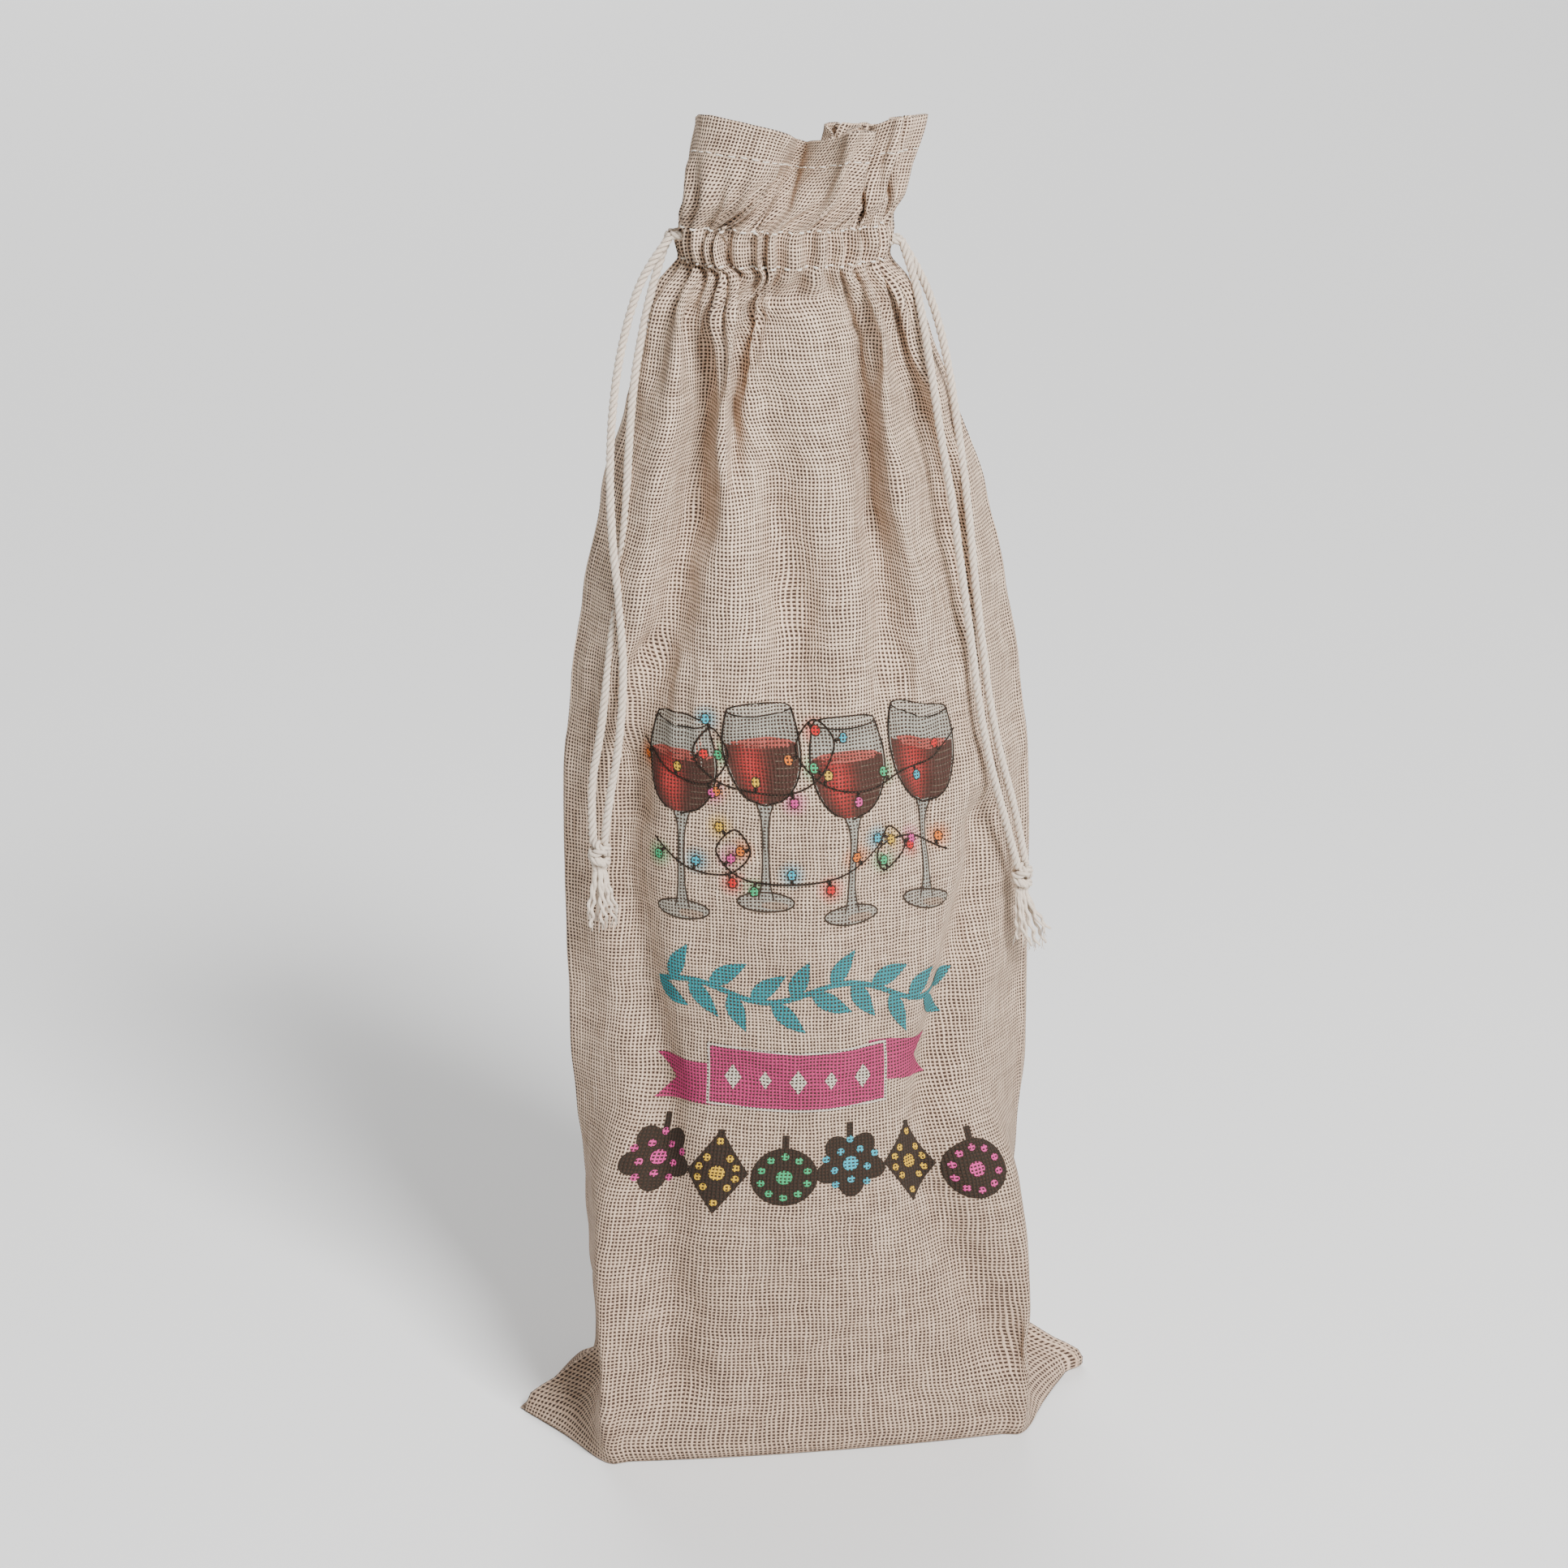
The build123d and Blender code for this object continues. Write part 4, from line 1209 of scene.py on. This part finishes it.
def draw_ornament(ink, u, v, kind, colour):
    """Draw one black hanging ornament, dotted in one colour: a star, a lozenge or a ball."""

    def reach(turns):
        if kind == 0:
            return 9.4 * (0.66 + 0.34 * np.abs(np.cos(2.5 * (turns - math.pi / 2))) ** 1.3)
        if kind == 1:
            return lozenge(11.8)(turns)
        return np.full(len(turns), 8.2)

    ink.shape(u, v, reach, BLACK, 0.97, 2, 5)
    ink.stroke([(u, v + 7.0), (u, v + 9.3), (u, v + 11.6)], 1.8, BLACK, 0.97, 2)
    turns = np.linspace(0, 2 * math.pi, 11)[:-1] + math.pi / 2
    for turn, size in zip(turns, 0.72 * reach(turns)):
        ink.oval(u + size * math.cos(turn), v + size * math.sin(turn), 0.95, 0.95, colour, 1.0, 4, rings=2)
    ink.oval(u, v, 2.0, 2.0, colour, 1.0, 4, rings=2)


# The two garlands' wires on the flat cloth, each with two loops
UPPER_GARLAND = [
    (-49, 233), (-40, 226), (-29, 224), (-23, 232), (-27, 239), (-32, 232), (-25, 224), (-10, 222), (0, 226),
    (5, 235), (0, 241), (-5, 233), (2, 224), (14, 222), (24, 227), (33, 231), (42, 238),
]
LOWER_GARLAND = [
    (-44, 208), (-35, 201), (-24, 200), (-18, 206), (-22, 212), (-27, 206), (-20, 199), (-6, 198), (6, 200),
    (15, 206), (19, 212), (24, 207), (18, 200), (16, 206), (26, 210), (38, 206),
]
# The colour of each ornament's dots, by its place among the bulbs' colours
ORNAMENT_COLOURS = (2, 1, 3, 4, 1, 2)


def make_print():
    """Print the front panel."""
    ink = Print(front)
    rng = np.random.default_rng(3)
    for i in range(4):
        foot = 189.0 + 4.0 * (i % 2)
        draw_glass(ink, -36.5 + 22.5 * i, foot, foot + 26.0, foot + 51.0, 10.2, 1.5 + 2.0 * (i % 2))
    draw_garland(ink, UPPER_GARLAND, 0)
    draw_garland(ink, LOWER_GARLAND, 3)
    draw_vine(ink, -45, 37, 168, rng)
    draw_ribbon(ink, -6.0, 145.0)
    for i, colour in enumerate(ORNAMENT_COLOURS):
        draw_ornament(ink, -42 + 16.6 * i, 119 + 1.6 * math.cos(i * 1.9), i % 3, BULBS[colour])
    piece = ink.parts.build("printed_decoration", printed, slot="cloth", coloured=True)
    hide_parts("front_panel")


make_print()

# ---------------------------------------------------------------- cords
PLY_RADIUS = 0.52
PLY_OFFSET = 0.58
TWIST_PITCH = 5.4
TASSEL_YARNS = 10
LEFT_KNOT = (-0.0534, -0.0176, 0.1634)
LEFT_OUTER = [
    (-0.0316, -0.0019, 0.3182), (-0.0382, -0.0032, 0.3105), (-0.0428, -0.0048, 0.2990),
    (-0.0464, -0.0064, 0.2840), (-0.0484, -0.0084, 0.2660), (-0.0488, -0.0134, 0.2460),
    (-0.0472, -0.0176, 0.2270), (-0.0468, -0.0200, 0.2090), (-0.0486, -0.0202, 0.1910),
    (-0.0512, -0.0188, 0.1770), (-0.0522, -0.0178, 0.1662),
]
LEFT_INNER = [
    (-0.0316, 0.0019, 0.3182), (-0.0352, 0.0002, 0.3090), (-0.0388, -0.0034, 0.2970),
    (-0.0420, -0.0070, 0.2830), (-0.0438, -0.0097, 0.2660), (-0.0450, -0.0119, 0.2490),
    (-0.0476, -0.0138, 0.2290), (-0.0504, -0.0157, 0.2120), (-0.0524, -0.0159, 0.1950),
    (-0.0554, -0.0150, 0.1800), (-0.0548, -0.0168, 0.1662),
]
RIGHT_KNOT = (0.0567, -0.0144, 0.1503)
RIGHT_OUTER = [
    (0.0260, 0.0019, 0.3153), (0.0306, -0.0012, 0.3080), (0.0346, -0.0049, 0.2970),
    (0.0374, -0.0078, 0.2830), (0.0394, -0.0107, 0.2670), (0.0412, -0.0145, 0.2500),
    (0.0424, -0.0180, 0.2320), (0.0444, -0.0196, 0.2140), (0.0466, -0.0199, 0.1980),
    (0.0502, -0.0180, 0.1830), (0.0548, -0.0148, 0.1680), (0.0578, -0.0136, 0.1532),
]
RIGHT_INNER = [
    (0.0260, -0.0019, 0.3153), (0.0280, -0.0070, 0.3084), (0.0294, -0.0118, 0.2990),
    (0.0314, -0.0146, 0.2850), (0.0336, -0.0160, 0.2690), (0.0366, -0.0176, 0.2520),
    (0.0386, -0.0206, 0.2340), (0.0410, -0.0222, 0.2160), (0.0432, -0.0226, 0.1990),
    (0.0466, -0.0212, 0.1830), (0.0514, -0.0180, 0.1670), (0.0554, -0.0152, 0.1532),
]


def spline_points(points, step):
    """Return points in millimetres along the smooth NURBS line of a route given in metres."""
    curve = bpy.data.curves.new("route", "CURVE")
    curve.dimensions = "3D"
    curve.resolution_u = 24
    spline = curve.splines.new("NURBS")
    spline.points.add(len(points) - 1)
    for point, place in zip(spline.points, points):
        point.co = (*place, 1.0)
    spline.order_u = 3
    spline.use_endpoint_u = True
    holder = bpy.data.objects.new("route", curve)
    bpy.context.scene.collection.objects.link(holder)
    bpy.context.view_layer.update()
    line = bpy.data.meshes.new_from_object(holder)
    found = np.array([vertex.co[:] for vertex in line.vertices]) / MM
    bpy.data.objects.remove(holder)
    bpy.data.meshes.remove(line)
    bpy.data.curves.remove(curve)
    return resample(found, np.linspace(0, 1, int(path_length(found)[-1] / step) + 1))


def add_rope(parts, points, first_normal, start_turn=0.0, rng=None):
    """Add a three-ply twisted cord along a line: each ply is its own round tube."""
    _, normals, binormals = frames_along(points, first_normal)
    lengths = path_length(points)
    for ply in range(3):
        phase = start_turn + ply * 2 * math.pi / 3 + lengths * 2 * math.pi / TWIST_PITCH
        offset = np.full(len(points), PLY_OFFSET)
        if rng is not None:
            wobble = np.interp(lengths, np.linspace(0, lengths[-1], 40), rng.uniform(-1, 1, 40))
            offset = PLY_OFFSET * (1.0 + 0.05 * wobble)
        outward = normals * np.cos(phase)[:, None] + binormals * np.sin(phase)[:, None]
        centre = points + outward * offset[:, None]
        add_tube(parts, centre, PLY_RADIUS, first_normal=first_normal, sides=10, core=points)


def make_strand(name, route, body, rng):
    points = spline_points(route, 0.4)
    parts = Parts()
    add_rope(parts, points, (0, 1, 0), rng=rng)
    piece = parts.build("rope_" + name, cotton, body, "cord", coloured=True)
    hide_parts(name)
    return piece, points


def make_loop(name, end, height):
    """Run a cord round inside the casing, with both ends out of one slit to meet the strands."""
    slit_x = RIGHT_OUTER[0][0] if end > 0 else LEFT_OUTER[0][0]
    middle = CASING_CENTRE * MM
    near_slit = middle + end * 0.0262
    route = [(slit_x, -0.0019, height), (near_slit, -0.0022, height + 0.0001)]
    for turn in np.linspace(0.42, 2 * math.pi - 0.42, 18):
        route.append((middle + end * 0.0216 * math.cos(turn), -0.0146 * math.sin(turn), height))
    route += [(near_slit, 0.0022, height + 0.0001), (slit_x, 0.0019, height)]
    points = spline_points(route, 0.5)
    parts = Parts()
    add_rope(parts, points, (0, 0, 1))
    piece = parts.build("rope_" + name, cotton, "bag", "cord", coloured=True)
    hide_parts(name)


def make_knot(name, centre, body):
    """Tie an overhand knot in the doubled cord: slanting wraps over a core of both strands."""
    x, y, z = np.array(centre) / MM
    parts = Parts()
    t = np.linspace(0, 1, 60)
    for start in (0.0, math.pi):
        turn = start + t * 2.2 * math.pi
        reach = 1.5 * np.sin(math.pi * np.clip(t * 0.9 + 0.05, 0, 1)) + 0.35
        line = np.column_stack([x + reach * np.cos(turn), y + reach * np.sin(turn), z + 3.7 - 7.4 * t])
        add_rope(parts, line, (0, 1, 0.3))
    for tilt, rise, radius in ((0.42, 1.0, 2.0), (-0.36, -1.1, 1.85)):
        turn = np.linspace(0, 2 * math.pi, 60)
        line = np.column_stack([
            x + radius * np.cos(turn), y + radius * 0.95 * np.sin(turn),
            z + rise + radius * np.cos(turn + 0.5) * math.tan(tilt),
        ])
        add_rope(parts, line, (0, 0, 1), start_turn=tilt)
    piece = parts.build("rope_" + name, cotton, body, "cord", coloured=True)
    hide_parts(name)
    return piece


def make_tassel(name, centre, body, lean, rng, dark_tips):
    """Fray the ends below a knot into wavy yarns that spread, each with loose fibres at its tip."""
    x, y, z = np.array(centre) / MM
    parts = Parts()
    for i in range(TASSEL_YARNS):
        turn = 2 * math.pi * (i + rng.uniform(-0.3, 0.3)) / TASSEL_YARNS
        length = rng.uniform(12.5, 17.5)
        spread = rng.uniform(2.0, 3.4)
        t = np.linspace(0, 1, 44)
        curl = rng.uniform(0.25, 0.5)
        twirl = rng.uniform(0, 6) + t * length / rng.uniform(3.4, 5.0) * 2 * math.pi
        out = 1.1 + spread * t**1.2
        line = np.column_stack([
            x + out * math.cos(turn) + lean * 4.5 * t**1.5 + curl * t * np.cos(twirl),
            y + 0.62 * out * math.sin(turn) - 0.4 * t + curl * t * np.sin(twirl),
            z - 3.0 - length * t + 1.2 * t**3 * rng.uniform(0, 1),
        ])
        tint = np.ones((len(t) + 2, 1, 4))
        if dark_tips and i % 2:
            tint[-5:, :, 3] = np.linspace(0.85, 0.15, 5)[:, None]
        radius = 0.5 * (1 - 0.35 * t**2) * (1 + 0.12 * np.sin(twirl * 1.7))
        add_tube(parts, line, radius, first_normal=(0, 1, 0), sides=8, colour=tint)
        for _ in range(5):
            sway = rng.uniform(-1, 1, 3)
            reach = np.array([sway[0] * 0.9, sway[1] * 0.7, -2.6 - sway[2]])
            fibre = line[-6] + np.linspace(0, 1, 6)[:, None] * reach
            fibre[:, 0] += 0.25 * np.sin(np.linspace(0, 3, 6) + sway[0] * 3)
            add_tube(parts, fibre, 0.07, first_normal=(0, 1, 0), sides=4)
    piece = parts.build("yarns_" + name, cotton, body, "cord", coloured=True)
    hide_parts(name)
    return piece


rng = np.random.default_rng(17)
make_loop("left_cord_casing_loop", -1, 0.3182)
make_loop("right_cord_casing_loop", 1, 0.3153)
for label, knot_place, routes, lean in (
    ("left", LEFT_KNOT, (LEFT_OUTER, LEFT_INNER), 0.15),
    ("right", RIGHT_KNOT, (RIGHT_OUTER, RIGHT_INNER), 0.75),
):
    knot = make_knot(f"{label}_cord_knot", knot_place, f"{label}_tie")
    tassel = make_tassel(f"{label}_cord_tassel", knot_place, f"{label}_tassel", lean, rng, label == "left")
    for strand_name, route in zip(("outer", "inner"), routes):
        strand, points = make_strand(f"{label}_cord_{strand_name}_strand", route, f"{label}_tie", rng)

# ---------------------------------------------------------------- stage, light and camera
CAMERA_DISTANCE = 1.0
CAMERA_HEIGHT = 0.51
CAMERA_YAW = math.radians(8.87)
CAMERA_TILT = math.radians(18.59)
CAMERA_LENS = 93.62609
CAMERA_SHIFT = -0.0082816


def make_floor():
    """Lay a plain pale floor."""
    bpy.ops.mesh.primitive_plane_add(size=8)
    floor = bpy.context.object
    floor.name = "floor"
    paint = bpy.data.materials.new("floor_paint")
    paint.use_nodes = True
    shader = paint.node_tree.nodes["Principled BSDF"]
    shader.inputs["Base Color"].default_value = (0.80, 0.80, 0.795, 1)
    shader.inputs["Roughness"].default_value = 0.9
    floor.data.materials.append(paint)


BAG_MIDDLE = (0, 0, 0.17)
# Each light: its name, place, side in metres, power in watts, and the place that it looks at
LIGHTS = (
    ("key", (0.66, -1.72, 1.72), 0.7, 124, BAG_MIDDLE),
    ("back", (0.3, 1.6, 1.9), 2.2, 14, BAG_MIDDLE),
    ("ceiling", (0.0, 4.6, 3.0), 3.0, 230, (0.0, 3.2, 0.0)),
)


def make_area_light(name, place, size, power, aim):
    """Hang one soft square light."""
    data = bpy.data.lights.new(name, "AREA")
    data.energy = power
    data.size = size
    light = bpy.data.objects.new(name, data)
    light.location = place
    light.rotation_euler = (Vector(aim) - Vector(place)).to_track_quat("-Z", "Y").to_euler()
    bpy.context.scene.collection.objects.link(light)


def make_camera():
    """Stand the camera where the photograph was taken from."""
    data = bpy.data.cameras.new("camera")
    data.sensor_width = 36.0
    data.lens = CAMERA_LENS
    data.shift_x = CAMERA_SHIFT
    camera = bpy.data.objects.new("camera", data)
    away = Vector((-math.sin(CAMERA_YAW), -math.cos(CAMERA_YAW), 0)) * CAMERA_DISTANCE
    camera.location = (away.x, away.y, CAMERA_HEIGHT)
    camera.rotation_euler = (math.pi / 2 - CAMERA_TILT, 0, -CAMERA_YAW)
    bpy.context.scene.collection.objects.link(camera)
    bpy.context.scene.camera = camera


make_floor()
for light in LIGHTS:
    make_area_light(*light)
world = bpy.data.worlds.new("world")
world.use_nodes = True
world.node_tree.nodes["Background"].inputs["Color"].default_value = (1, 1, 1, 1)
world.node_tree.nodes["Background"].inputs["Strength"].default_value = 0.3
bpy.context.scene.world = world
make_camera()
